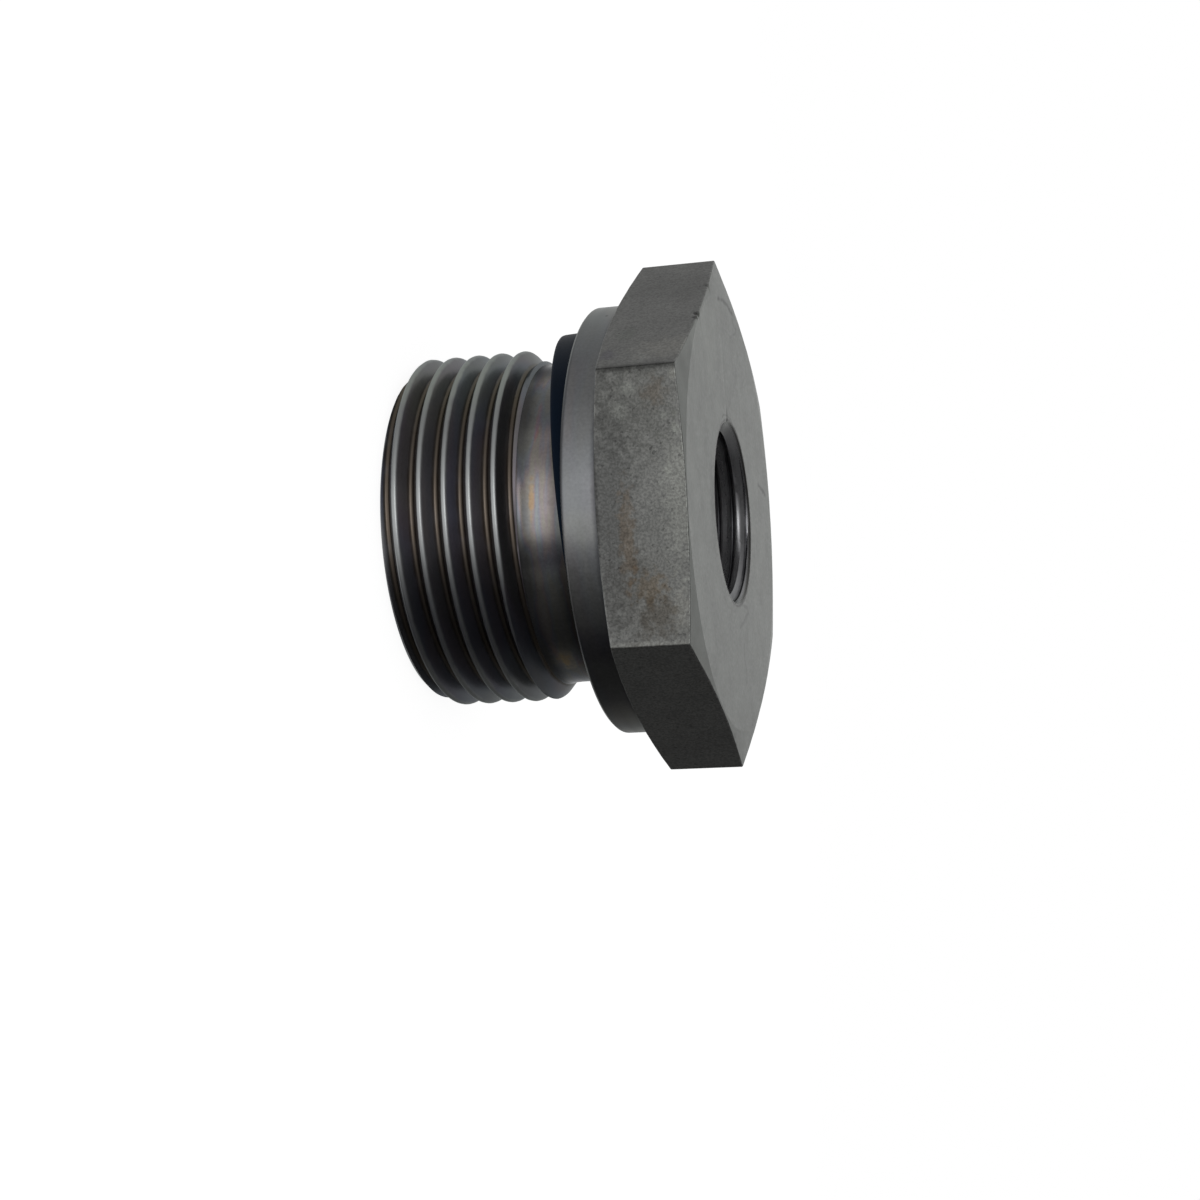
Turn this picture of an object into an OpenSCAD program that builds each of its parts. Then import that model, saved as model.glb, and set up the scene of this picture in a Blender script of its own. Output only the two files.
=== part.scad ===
// Reducing nipple in blackened steel: a male parallel pipe thread at one end,
// a round sealing collar with a soft face seal, and a hexagon with a smaller
// female parallel pipe port in its end face. The thread end stands on z = 0
// and the axis is Z. A flat of the hexagon faces -Y.

/* [Stud thread] */
// Major diameter of the male thread
stud_d = 33.249; // [31:0.001:34]
// Distance along the axis from one crest to the next
stud_pitch = 2.309; // [1.8:0.001:2.6]
// Angle between the two flanks of a thread groove
flank_angle = 55; // [50:1:60]
// Length from the stud's end to the collar's seat face
stud_len = 18; // [17:0.1:24]
// Radial depth of the 45 degree chamfer on the stud's end
stud_chamfer = 1.3; // [0.5:0.05:2]
// Direction about the axis in which the first crest meets the stud's end
thread_start = 346; // [0:1:359]

/* [Thread relief] */
// Depth of the plain neck below the thread's root
neck_under = 0.19; // [0.05:0.01:0.6]
// Length of the plain neck from the thread's run-out to the seat face
relief_len = 5; // [4.6:0.1:6]
// Length of the cone that ends the thread towards the neck
runout_len = 1.4; // [0.8:0.1:2.4]

/* [Collar] */
// Length of the collar from its seat face to the hexagon
collar_len = 3.2; // [2.6:0.1:6]
// Bevel on the collar's rim at the seat face
collar_bevel = 0.25; // [0.1:0.05:0.5]
// Width of the seal groove in the collar's face, from the neck outwards
groove_w = 3.3; // [2.8:0.05:3.6]
// Depth of the seal groove
groove_depth = 1.55; // [1.35:0.05:2]
// Width of the flat seat ring outside the seal groove
seat_w = 1.75; // [1:0.05:2]

/* [Hexagon] */
// Distance across the hexagon's flats
hex_af = 41; // [40.5:0.5:50]
// Length of the hexagon along the axis
hex_len = 8; // [6:0.1:14]
// Angle of the corner chamfer on the port face, from that face
port_chamfer_angle = 8; // [4:1:30]
// Angle of the corner chamfer on the collar side, from that face
back_chamfer_angle = 12; // [5:1:30]
// Width that the port face's turned circle stays inside the flats
face_inset = 0.2; // [0.05:0.05:1]

/* [Port] */
// Minor diameter of the female thread, which is the wall between its grooves
port_d = 15.35; // [14.95:0.05:15.4]
// Major diameter of the female thread
port_major_d = 16.662; // [16.5:0.001:16.8]
// Distance along the axis from one groove of the female thread to the next
port_pitch = 1.337; // [1.2:0.001:1.4]
// Length of the female thread from the end face
tap_len = 12; // [8:0.5:12]
// Direction about the axis in which the female thread's grooves start
tap_start = 232; // [0:1:359]
// Depth of the drilled port from the end face
port_depth = 15; // [13:0.5:18]
// Width and depth of the 45 degree countersink at the mouth
mouth_bevel = 0.9; // [0.8:0.05:1.5]
// Point angle of the drill that made the port
drill_angle = 118; // [90:1:140]
// Diameter of the flow bore that runs on to the stud's end
flow_d = 12; // [6:0.5:14]
// Bevel on the flow bore's edge at the stud's end
flow_bevel = 0.5; // [0.2:0.1:1]

/* [Seal ring] */
// Thickness of the seal ring along its own axis
seal_t = 2; // [1.4:0.1:2.2]
// Gap between the seal's outside and the groove's outer wall
seal_side_gap = 0.4; // [0.3:0.05:0.8]
// Least clearance between the seal and the neck
seal_clear = 0.08; // [0.05:0.01:0.3]
// Gap between the seal's seated edge and the groove's floor
seal_floor_gap = 0.05; // [0.02:0.01:0.3]
// Angle by which the ring sits askew on the neck
seal_tilt = 6.7; // [0:0.1:7]
// Direction about the axis in which the ring is fully seated
seal_seated_at = -54.5; // [-180:0.5:180]
// Bevel on the seal's outer edges
seal_bevel = 0.35; // [0.1:0.05:0.6]

/* [Hidden] */
$fn = 96;
// How far cutting tools run past the faces that they cut
past = 1;
// Thread mesh: segments in a turn and levels in a pitch
turn_steps = 48;
pitch_levels = 10;
// Step by which the thread mesh ends inside the turned neck
neck_step = 0.05;
// Female thread: sections in a turn, how far they start inside the drilled
// wall, and the turns in which the groove fades in at its inner end
tap_steps = 36;
tap_step = 0.1;
tap_lead = 0.5;

stud_r = stud_d / 2;
hex_r = hex_af / sqrt(3);
port_r = port_d / 2;
port_major_r = port_major_d / 2;
mouth_r = port_r + mouth_bevel;
flow_r = flow_d / 2;

// Rounded pipe thread form: the sharp triangle loses a sixth at crest and
// root, and both are rounded with the one radius that meets the flanks
half_angle = flank_angle / 2;
sharp_h = stud_pitch / (2 * tan(half_angle));
thread_h = sharp_h * 2 / 3;
round_r = (sharp_h / 6) / (1 / sin(half_angle) - 1);
round_half_w = round_r * cos(half_angle);
root_r = stud_r - thread_h;
end_r = stud_r - stud_chamfer;
neck_r = root_r - neck_under;
groove_r = neck_r + groove_w;
collar_r = groove_r + seat_w;

collar_z = stud_len;
hex_z = collar_z + collar_len;
top_z = hex_z + hex_len;
groove_z = collar_z + groove_depth;
relief_z = collar_z - relief_len;
thread_z = relief_z - runout_len;
runout_slope = (stud_r - neck_r + neck_step) / runout_len;

face_r = hex_af / 2 - face_inset;
port_drop = (hex_r - face_r) * tan(port_chamfer_angle);
back_drop = (hex_r - hex_af / 2) * tan(back_chamfer_angle);

port_floor_z = top_z - port_depth;
drill_tip = (port_r - flow_r) / tan(drill_angle / 2);
tap_z = top_z - tap_len;

seal_out_r = groove_r - seal_side_gap;
seal_in_r = (neck_r + seal_clear + seal_t / 2 * sin(seal_tilt)) / cos(seal_tilt);
seal_mid_z = groove_z - seal_floor_gap - seal_out_r * sin(seal_tilt)
    - seal_t / 2 * cos(seal_tilt);

// Radius of the thread form at a distance along the axis from a crest
function thread_form(t) =
    let (d = abs(t), e = stud_pitch / 2 - d)
    d < round_half_w ? stud_r - round_r + sqrt(round_r * round_r - d * d) :
    e < round_half_w ? root_r + round_r - sqrt(round_r * round_r - e * e) :
    stud_r - round_r * (1 - sin(half_angle))
        - (d - round_half_w) / tan(half_angle);

// Distance along the axis from the nearest crest, between minus and plus
// half a pitch, for a right-hand helix
function from_crest(z, a) =
    let (u = z / stud_pitch - (a - thread_start) / 360)
    (u - round(u)) * stud_pitch;

// Radius that the end chamfer and the run-out cone leave at a height
function turned_r(z) =
    min(end_r + z, stud_r - max(0, z - thread_z) * runout_slope);

function stud_surface_r(z, a) = min(turned_r(z), thread_form(from_crest(z, a)));

// The threaded length as one closed skin of rings, with a flat disc at each end
module thread_blank() {
    levels = ceil(relief_z / stud_pitch * pitch_levels);
    side = [
        for (i = [0 : levels], j = [0 : turn_steps - 1])
            let (
                z = relief_z * i / levels,
                a = 360 * j / turn_steps,
                r = stud_surface_r(z, a)
            )
            [r * cos(a), r * sin(a), z]
    ];
    low = len(side);
    points = concat(side, [[0, 0, 0], [0, 0, relief_z]]);
    faces = concat(
        [
            for (i = [0 : levels - 1], j = [0 : turn_steps - 1])
                let (
                    k = (j + 1) % turn_steps,
                    p = i * turn_steps + j,
                    q = i * turn_steps + k
                )
                for (f = [[p, p + turn_steps, q], [q, p + turn_steps, q + turn_steps]])
                    f
        ],
        [for (j = [0 : turn_steps - 1]) [low, j, (j + 1) % turn_steps]],
        [
            for (j = [0 : turn_steps - 1])
                let (p = levels * turn_steps + j, q = levels * turn_steps + (j + 1) % turn_steps)
                [low + 1, q, p]
        ]
    );
    polyhedron(points = points, faces = faces, convexity = 10);
}

// Neck, seal groove and collar, turned about the axis
module neck_and_collar() {
    rotate_extrude()
        polygon([
            [0, relief_z],
            [neck_r, relief_z],
            [neck_r, groove_z],
            [groove_r, groove_z],
            [groove_r, collar_z],
            [collar_r - collar_bevel, collar_z],
            [collar_r, collar_z + collar_bevel],
            [collar_r, hex_z],
            [0, hex_z]
        ]);
}

// Hexagon bar, with the corners turned off by a shallow cone at each face
module hexagon() {
    intersection() {
        translate([0, 0, hex_z])
            cylinder(r = hex_r, h = hex_len, $fn = 6);
        rotate_extrude()
            polygon([
                [0, hex_z],
                [hex_af / 2, hex_z],
                [hex_r, hex_z + back_drop],
                [hex_r + past, hex_z + back_drop],
                [hex_r + past, top_z - port_drop],
                [hex_r, top_z - port_drop],
                [face_r, top_z],
                [0, top_z]
            ]);
    }
}

// Section of the female thread's groove at a height, as a radius and a
// distance from the groove's middle. It fades in from the inner end
function tap_section(z) =
    let (
        grown = min(1, (z - tap_z) / (port_pitch * tap_lead)),
        low_r = port_r - tap_step,
        high_r = low_r + tap_step / 2 + (port_major_r - port_r + tap_step / 2) * grown,
        high_w = port_pitch / 12,
        low_w = high_w + (port_major_r - low_r) * tan(half_angle)
    )
    [[low_r, -low_w], [high_r, -high_w], [high_r, high_w], [low_r, low_w]];

// Grooves of the female thread: one section swept along a right-hand helix
module tap() {
    length = tap_len + port_pitch;
    last = ceil(length / port_pitch * tap_steps);
    points = [
        for (i = [0 : last], p = tap_section(tap_z + length * i / last))
            let (
                z = tap_z + length * i / last,
                a = tap_start + 360 * z / port_pitch
            )
            [p[0] * cos(a), p[0] * sin(a), z + p[1]]
    ];
    faces = concat(
        [
            for (i = [0 : last - 1], j = [0 : 3])
                let (
                    p = 4 * i + j,
                    q = 4 * i + (j + 1) % 4
                )
                for (f = [[p, q, p + 4], [q, q + 4, p + 4]])
                    f
        ],
        [[3, 2, 1], [3, 1, 0]],
        [[4 * last, 4 * last + 1, 4 * last + 2], [4 * last, 4 * last + 2, 4 * last + 3]]
    );
    polyhedron(points = points, faces = faces, convexity = 12);
}

// Port, drill point and flow bore as one turned tool
module waterway() {
    rotate_extrude()
        polygon([
            [0, -past],
            [flow_r + flow_bevel + past, -past],
            [flow_r, flow_bevel],
            [flow_r, port_floor_z - drill_tip],
            [port_r, port_floor_z],
            [port_r, top_z - mouth_bevel],
            [mouth_r + past, top_z + past],
            [0, top_z + past]
        ]);
}

module nipple_body() {
    color([0.24, 0.24, 0.25])
        difference() {
            union() {
                thread_blank();
                neck_and_collar();
                hexagon();
            }
            waterway();
            tap();
        }
}

// Soft profile ring, askew on the neck: seated on one side, lifted on the other
module seal_ring() {
    color([0.05, 0.05, 0.06])
        translate([0, 0, seal_mid_z])
            rotate([0, 0, seal_seated_at])
                rotate([0, -seal_tilt, 0])
                    rotate_extrude()
                        polygon([
                            [seal_in_r, -seal_t / 2],
                            [seal_out_r - seal_bevel, -seal_t / 2],
                            [seal_out_r, -seal_t / 2 + seal_bevel],
                            [seal_out_r, seal_t / 2 - seal_bevel],
                            [seal_out_r - seal_bevel, seal_t / 2],
                            [seal_in_r, seal_t / 2]
                        ]);
}

nipple_body();
seal_ring();
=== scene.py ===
"""Looks of a hydraulic reducing nipple in blackened steel with a soft seal ring on its neck.

The steel body is one closed skin of rings about the axis. A rule in Geometry Nodes cuts the
male and the female pipe thread into it. The seal ring is a turned rubber profile that has
slipped askew. Lengths are in millimetres until a mesh is made, and in metres from there on.
"""

import logging
import math
from collections.abc import Sequence
from dataclasses import dataclass
from enum import Enum

import bpy
import numpy as np
from bpy.types import Material, Mesh, Node, NodeOutputs, NodeSocket, NodeTree, Object
from mathutils import Matrix, Vector


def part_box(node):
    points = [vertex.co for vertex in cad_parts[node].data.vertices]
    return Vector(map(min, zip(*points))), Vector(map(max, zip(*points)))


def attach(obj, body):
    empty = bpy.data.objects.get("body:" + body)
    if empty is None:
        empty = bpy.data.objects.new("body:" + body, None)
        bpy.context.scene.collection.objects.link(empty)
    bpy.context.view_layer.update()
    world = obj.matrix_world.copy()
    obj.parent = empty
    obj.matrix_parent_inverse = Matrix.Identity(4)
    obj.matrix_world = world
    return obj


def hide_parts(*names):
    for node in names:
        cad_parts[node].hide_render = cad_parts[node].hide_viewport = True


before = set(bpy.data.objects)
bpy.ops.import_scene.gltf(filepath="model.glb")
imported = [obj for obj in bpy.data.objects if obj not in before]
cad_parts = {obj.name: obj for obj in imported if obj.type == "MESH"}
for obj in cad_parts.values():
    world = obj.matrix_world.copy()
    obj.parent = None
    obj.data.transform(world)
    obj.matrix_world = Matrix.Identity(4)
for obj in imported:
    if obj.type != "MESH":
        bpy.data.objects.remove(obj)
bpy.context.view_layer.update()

MM = 0.001
BODY = "root"
WELD = 1e-6
LOG = logging.getLogger("reducing_nipple")

Feed = NodeSocket | float | int | bool | str | tuple | Material
Colour = tuple[float, float, float]


class Zone(Enum):
    """A stretch of the steel skin that has one finish. The value is its material slot."""

    TURNED = 0
    FACE = 1
    FLAT = 2
    STUD_THREAD = 3
    PORT = 4
    NECK = 5


class Mark(Enum):
    """Names of the point attributes that the meshes carry."""

    EDGE = "edge"
    CREST = "crest"
    STUD_THREAD = "stud_thread"
    PORT_THREAD = "port_thread"


class Graph:
    """Short calls that fill one node tree."""

    def __init__(self, tree: NodeTree) -> None:
        """Keep the tree that the calls fill."""
        self.tree = tree

    def put(self, target: NodeSocket, feed: Feed) -> None:
        """Link a socket to an input, or set the input to a plain value.

        Args:
            target: the input socket.
            feed: another node's output, or a value for the input.
        """
        if isinstance(feed, NodeSocket):
            self.tree.links.new(feed, target)
        else:
            target.default_value = feed

    def add(self, kind: str, feeds: dict | None = None, **settings: object) -> Node:
        """Add one node.

        Args:
            kind: the node's type name.
            feeds: what goes into its inputs, by the input's name or number.
            settings: the node's own properties.

        Returns:
            The new node.
        """
        node = self.tree.nodes.new(kind)
        for name, setting in settings.items():
            setattr(node, name, setting)
        for name, feed in (feeds or {}).items():
            self.put(node.inputs[name], feed)
        return node

    def math(self, operation: str, *operands: Feed, clamp: bool = False) -> NodeSocket:
        """Add a Math node and return its result."""
        feeds = dict(enumerate(operands))
        return self.add("ShaderNodeMath", feeds, operation=operation, use_clamp=clamp).outputs[0]

    def vector(self, operation: str, *operands: Feed) -> NodeSocket:
        """Add a Vector Math node and return its result, which is a number for lengths."""
        node = self.add("ShaderNodeVectorMath", dict(enumerate(operands)), operation=operation)
        return node.outputs["Value" if operation in ("LENGTH", "DISTANCE", "DOT_PRODUCT") else "Vector"]

    def ease(self, feed: Feed, low: Feed, high: Feed) -> NodeSocket:
        """Return a smooth step from 0 at low to 1 at high."""
        feeds = {"Value": feed, "From Min": low, "From Max": high}
        return self.add("ShaderNodeMapRange", feeds, interpolation_type="SMOOTHSTEP").outputs["Result"]

    def span(self, feed: Feed, low: Feed, high: Feed) -> NodeSocket:
        """Return low plus the share of the way to high that a feed from 0 to 1 gives."""
        feeds = {"Value": feed, "To Min": low, "To Max": high}
        return self.add("ShaderNodeMapRange", feeds).outputs["Result"]

    def mix(self, share: Feed, first: Feed, second: Feed, blend: str = "MIX") -> NodeSocket:
        """Mix two colours.

        Args:
            share: the share of the second, from 0 to 1.
            first: the first colour.
            second: the second colour.
            blend: how they are mixed.

        Returns:
            The mixed colour.
        """
        node = self.add("ShaderNodeMix", data_type="RGBA", blend_type=blend)
        for number, feed in ((0, share), (6, first), (7, second)):
            self.put(node.inputs[number], feed)
        return node.outputs[2]

    def noise(self, place: Feed, scale: Feed, detail: float = 2.0) -> NodeSocket:
        """Return a noise value from 0 to 1 at a place."""
        feeds = {"Vector": place, "Scale": scale, "Detail": detail}
        return self.add("ShaderNodeTexNoise", feeds).outputs[0]

    def line_noise(self, along: Feed, detail: float = 2.0) -> NodeSocket:
        """Return a noise value from 0 to 1 that changes along one number only."""
        feeds = {"W": along, "Scale": 1.0, "Detail": detail}
        return self.add("ShaderNodeTexNoise", feeds, noise_dimensions="1D").outputs[0]

    def times(self, colour: Feed, factor: Feed) -> NodeSocket:
        """Return a colour times a factor, which may be a colour too."""
        return self.mix(1.0, colour, factor, "MULTIPLY")

    def mark(self, name: str) -> NodeSocket:
        """Return the value that a point attribute holds."""
        return self.add("ShaderNodeAttribute", attribute_name=name).outputs["Fac"]

    def place(self) -> NodeSocket:
        """Return the place on the object, in mm."""
        feeds = {0: self.add("ShaderNodeTexCoord").outputs["Object"], "Scale": 1.0 / MM}
        return self.add("ShaderNodeVectorMath", feeds, operation="SCALE").outputs[0]

    def out(self, place: Feed) -> NodeSocket:
        """Return a place's distance from the axis."""
        return self.vector("LENGTH", self.vector("MULTIPLY", place, (1.0, 1.0, 0.0)))

    def ramp(self, feed: Feed, stops: Sequence[tuple[float, Colour]]) -> NodeSocket:
        """Look a value up on a colour ramp.

        Args:
            feed: the value, from 0 to 1.
            stops: the ramp's places and colours, in order.

        Returns:
            The colour at the value.
        """
        node = self.add("ShaderNodeValToRGB", {"Fac": feed})
        points = node.color_ramp.elements
        while len(points) < len(stops):
            points.new(1.0)
        for point, (place, colour) in zip(points, stops):
            point.position = place
            point.color = (*colour, 1.0)
        return node.outputs["Color"]


def node_material(title: str) -> tuple[Material, Graph]:
    """Make a material out of nodes.

    Args:
        title: the material's name.

    Returns:
        The material and the graph that fills it.
    """
    material = bpy.data.materials.new(title)
    material.use_nodes = True
    return material, Graph(material.node_tree)


def bare_material(title: str) -> tuple[Material, Graph]:
    """Make a material with nothing but its output, for the studio.

    Args:
        title: the material's name.

    Returns:
        The material and the graph that fills it.
    """
    material, graph = node_material(title)
    graph.tree.nodes.remove(graph.tree.nodes["Principled BSDF"])
    return material, graph


def link_object(name: str, mesh: Mesh) -> Object:
    """Put a mesh into the scene.

    Args:
        name: the new object's name.
        mesh: its mesh.

    Returns:
        The new object.
    """
    piece = bpy.data.objects.new(name, mesh)
    bpy.context.scene.collection.objects.link(piece)
    return piece


class Effect:
    """A surface effect that several finishes share, kept as one node group."""

    title: str
    takes: dict[str, tuple[str, object]]
    gives: dict[str, str]

    @classmethod
    def group(cls) -> NodeTree:
        """Find the effect's node group, or build it at its first use.

        Returns:
            The group's tree.
        """
        if cls.title in bpy.data.node_groups:
            return bpy.data.node_groups[cls.title]
        tree = bpy.data.node_groups.new(cls.title, "ShaderNodeTree")
        for name, (kind, start) in cls.takes.items():
            socket = tree.interface.new_socket(name, in_out="INPUT", socket_type="NodeSocket" + kind)
            socket.default_value = start
        for name, kind in cls.gives.items():
            tree.interface.new_socket(name, in_out="OUTPUT", socket_type="NodeSocket" + kind)
        graph = Graph(tree)
        given = graph.add("NodeGroupInput").outputs
        results = cls.fill(graph, given)
        graph.add("NodeGroupOutput", results)
        return tree

    @classmethod
    def place(cls, graph: Graph, **feeds: Feed) -> NodeOutputs:
        """Put the effect into a material.

        Args:
            graph: the material's tree.
            feeds: what goes into the group's inputs. An underscore stands for a space.

        Returns:
            The outputs of the placed group.
        """
        node = graph.add("ShaderNodeGroup", node_tree=cls.group())
        for name, feed in feeds.items():
            graph.put(node.inputs[name.replace("_", " ").capitalize()], feed)
        return node.outputs

    @classmethod
    def fill(cls, graph: Graph, given: NodeOutputs) -> dict[str, NodeSocket]:
        """Fill the group's tree and return what feeds each of its outputs, by name."""
        raise NotImplementedError


class OxideMottle(Effect):
    """Cloudy patches and fine grain of a blackened skin, as a factor near 1."""

    title = "oxide mottle"
    takes = {
        "Place": ("Vector", (0.0, 0.0, 0.0)),
        "Patch size": ("Float", 3.0),
        "Patch amount": ("Float", 0.2),
        "Grain size": ("Float", 0.3),
        "Grain amount": ("Float", 0.1),
    }
    gives = {"Tone": "Float", "Grain": "Float"}
    noise_detail = 3.0
    tone_gain = 4.0

    @classmethod
    def fill(cls, graph: Graph, given: NodeOutputs) -> dict[str, NodeSocket]:
        """Add patches and grain, each of its own size and amount.

        Args:
            graph: the group's tree.
            given: the group's inputs.

        Returns:
            What feeds each of the group's outputs, by name.
        """
        parts = []
        for kind in ("Patch", "Grain"):
            scale = graph.math("DIVIDE", 1.0, given[kind + " size"])
            noise = graph.noise(given["Place"], scale, cls.noise_detail)
            swing = graph.math("SUBTRACT", noise, 0.5)
            parts.append(graph.math("MULTIPLY", swing, given[kind + " amount"]))
        both = graph.math("ADD", *parts)
        return {"Tone": graph.math("MULTIPLY_ADD", both, cls.tone_gain, 1.0), "Grain": parts[1]}


class TurningMarks(Effect):
    """Fine grooves round the axis, left by the cutting tool, on cylinders, cones and faces alike."""

    title = "turning marks"
    takes = {
        "Place": ("Vector", (0.0, 0.0, 0.0)),
        "Feed": ("Float", 0.12),
        "Depth": ("Float", 0.002),
    }
    gives = {"Height": "Float", "Band": "Float"}
    fine_detail = 3.0
    bands_per_mm = 1.3

    @classmethod
    def fill(cls, graph: Graph, given: NodeOutputs) -> dict[str, NodeSocket]:
        """Read noise along radius plus height, so that every turned surface is crossed.

        Args:
            graph: the group's tree.
            given: the group's inputs.

        Returns:
            What feeds each of the group's outputs, by name.
        """
        height = graph.add("ShaderNodeSeparateXYZ", {0: given["Place"]}).outputs["Z"]
        along = graph.math("ADD", graph.out(given["Place"]), height)
        fine = graph.line_noise(graph.math("DIVIDE", along, given["Feed"]), cls.fine_detail)
        band = graph.line_noise(graph.math("MULTIPLY", along, cls.bands_per_mm))
        return {"Height": graph.math("MULTIPLY", fine, given["Depth"]), "Band": band}


class EdgeWearAndShade(Effect):
    """A mask along the edges, in broken patches. Most finishes lay a lighter worn colour there, where
    handling has rubbed an edge bright; the port lays near black there, as painted shade.
    """

    title = "edge wear and shade"
    takes = {
        "Place": ("Vector", (0.0, 0.0, 0.0)),
        "Edge": ("Float", 0.0),
        "Amount": ("Float", 0.5),
    }
    gives = {"Mask": "Float"}
    break_scale = 1.6
    break_detail = 4.0
    break_swing = 0.35
    worn_from = 0.35

    @classmethod
    def fill(cls, graph: Graph, given: NodeOutputs) -> dict[str, NodeSocket]:
        """Cut the edge mark with noise and scale it.

        Args:
            graph: the group's tree.
            given: the group's inputs.

        Returns:
            What feeds each of the group's outputs, by name.
        """
        noise = graph.noise(given["Place"], cls.break_scale, cls.break_detail)
        breaks = graph.span(noise, cls.break_swing, -cls.break_swing)
        worn = graph.ease(graph.math("ADD", given["Edge"], breaks), cls.worn_from, 1.0)
        return {"Mask": graph.math("MULTIPLY", worn, given["Amount"], clamp=True)}


class HeatTint(Effect):
    """Straw, purple and blue films of oxide in bands round the axis."""

    title = "heat tint"
    takes = {
        "Place": ("Vector", (0.0, 0.0, 0.0)),
        "Size": ("Float", 2.0),
    }
    gives = {"Colour": "Color"}
    stretch = (0.16, 0.16, 1.0)
    films = (
        (0.30, (0.50, 0.52, 0.55)),
        (0.41, (0.58, 0.50, 0.40)),
        (0.46, (0.55, 0.40, 0.44)),
        (0.50, (0.42, 0.42, 0.56)),
        (0.55, (0.46, 0.54, 0.60)),
        (0.62, (0.55, 0.55, 0.48)),
        (0.72, (0.50, 0.50, 0.50)),
    )

    @classmethod
    def fill(cls, graph: Graph, given: NodeOutputs) -> dict[str, NodeSocket]:
        """Colour a noise that is stretched round the axis.

        Args:
            graph: the group's tree.
            given: the group's inputs.

        Returns:
            What feeds each of the group's outputs, by name.
        """
        stretched = graph.vector("MULTIPLY", given["Place"], cls.stretch)
        film = graph.noise(stretched, graph.math("DIVIDE", 1.0, given["Size"]))
        return {"Colour": graph.ramp(film, cls.films)}


class StainAndShadePatch(Effect):
    """A soft round patch with a ragged rim, as a mask: for stains, and for painted shade and painted
    light.
    """

    title = "stain and shade patch"
    takes = {
        "Place": ("Vector", (0.0, 0.0, 0.0)),
        "Centre": ("Vector", (0.0, 0.0, 0.0)),
        "Reach": ("Vector", (1.0, 1.0, 1.0)),
        "Noise": ("Float", 0.5),
        "Ragged": ("Float", 0.3),
    }
    gives = {"Mask": "Float"}
    wander_gain = 3.0
    core = 0.25

    @classmethod
    def fill(cls, graph: Graph, given: NodeOutputs) -> dict[str, NodeSocket]:
        """Fade from the centre out to the reach, moved in and out by the given noise.

        Args:
            graph: the group's tree.
            given: the group's inputs.

        Returns:
            What feeds each of the group's outputs, by name.
        """
        off = graph.vector("SUBTRACT", given["Place"], given["Centre"])
        away = graph.vector("DIVIDE", off, given["Reach"])
        swing = graph.math("SUBTRACT", given["Noise"], 0.5)
        wander = graph.math("MULTIPLY", swing, given["Ragged"])
        far = graph.math("MULTIPLY_ADD", wander, cls.wander_gain, graph.vector("LENGTH", away))
        return {"Mask": graph.ease(far, 1.0, cls.core)}


class LineScratch(Effect):
    """A hairline scratch from one point to another, with a slight wander."""

    title = "line scratch"
    takes = {
        "Place": ("Vector", (0.0, 0.0, 0.0)),
        "Start": ("Vector", (0.0, 0.0, 0.0)),
        "End": ("Vector", (1.0, 0.0, 0.0)),
        "Noise": ("Float", 0.5),
        "Width": ("Float", 0.2),
    }
    gives = {"Mask": "Float"}
    wander_gain = 1.5

    @classmethod
    def fill(cls, graph: Graph, given: NodeOutputs) -> dict[str, NodeSocket]:
        """Fade with the distance from the nearest point between the two ends.

        Args:
            graph: the group's tree.
            given: the group's inputs.

        Returns:
            What feeds each of the group's outputs, by name.
        """
        way = graph.vector("SUBTRACT", given["End"], given["Start"])
        off = graph.vector("SUBTRACT", given["Place"], given["Start"])
        ahead = graph.vector("DOT_PRODUCT", off, way)
        share = graph.math("DIVIDE", ahead, graph.vector("DOT_PRODUCT", way, way), clamp=True)
        nearest = graph.add("ShaderNodeVectorMath", {0: way, "Scale": share}, operation="SCALE")
        gap = graph.vector("DISTANCE", off, nearest.outputs[0])
        swing = graph.math("SUBTRACT", given["Noise"], 0.5)
        wander = graph.math("MULTIPLY", swing, given["Width"])
        gap = graph.math("MULTIPLY_ADD", wander, cls.wander_gain, gap)
        return {"Mask": graph.ease(gap, given["Width"], 0.0)}


@dataclass(frozen=True)
class Speckle:
    """Flecks of another colour, which fade in as a noise goes from one end to the other."""

    scale: float
    ends: tuple[float, float]
    amount: float
    shade: Colour
    noise_detail: float = 2.0

    def over(self, graph: Graph, place: Feed, colour: Feed) -> Feed:
        """Lay the flecks over a colour.

        Args:
            graph: the material's tree.
            place: the place on the object, in mm.
            colour: the colour so far.

        Returns:
            The new colour.
        """
        mask = graph.ease(graph.noise(place, self.scale, self.noise_detail), *self.ends)
        mask = graph.math("MULTIPLY", mask, self.amount)
        return graph.mix(mask, colour, (*self.shade, 1.0))


@dataclass(frozen=True)
class Spot:
    """A soft patch on a finish: a stain or tint, painted shade that darkens the colour, or painted light
    that lightens it. Places in mm, shade as a factor on the colour.
    """

    centre: tuple[float, float, float]
    reach: tuple[float, float, float]
    shade: Colour
    ragged: float = 0.3


@dataclass(frozen=True)
class Scratch:
    """A bent dark line in the end face through some points, in mm: a scratch, or a line of painted shade
    round a burr. Its shade is a factor.
    """

    points: tuple[tuple[float, float], ...]
    width: float = 0.2
    shade: float = 0.6


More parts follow.
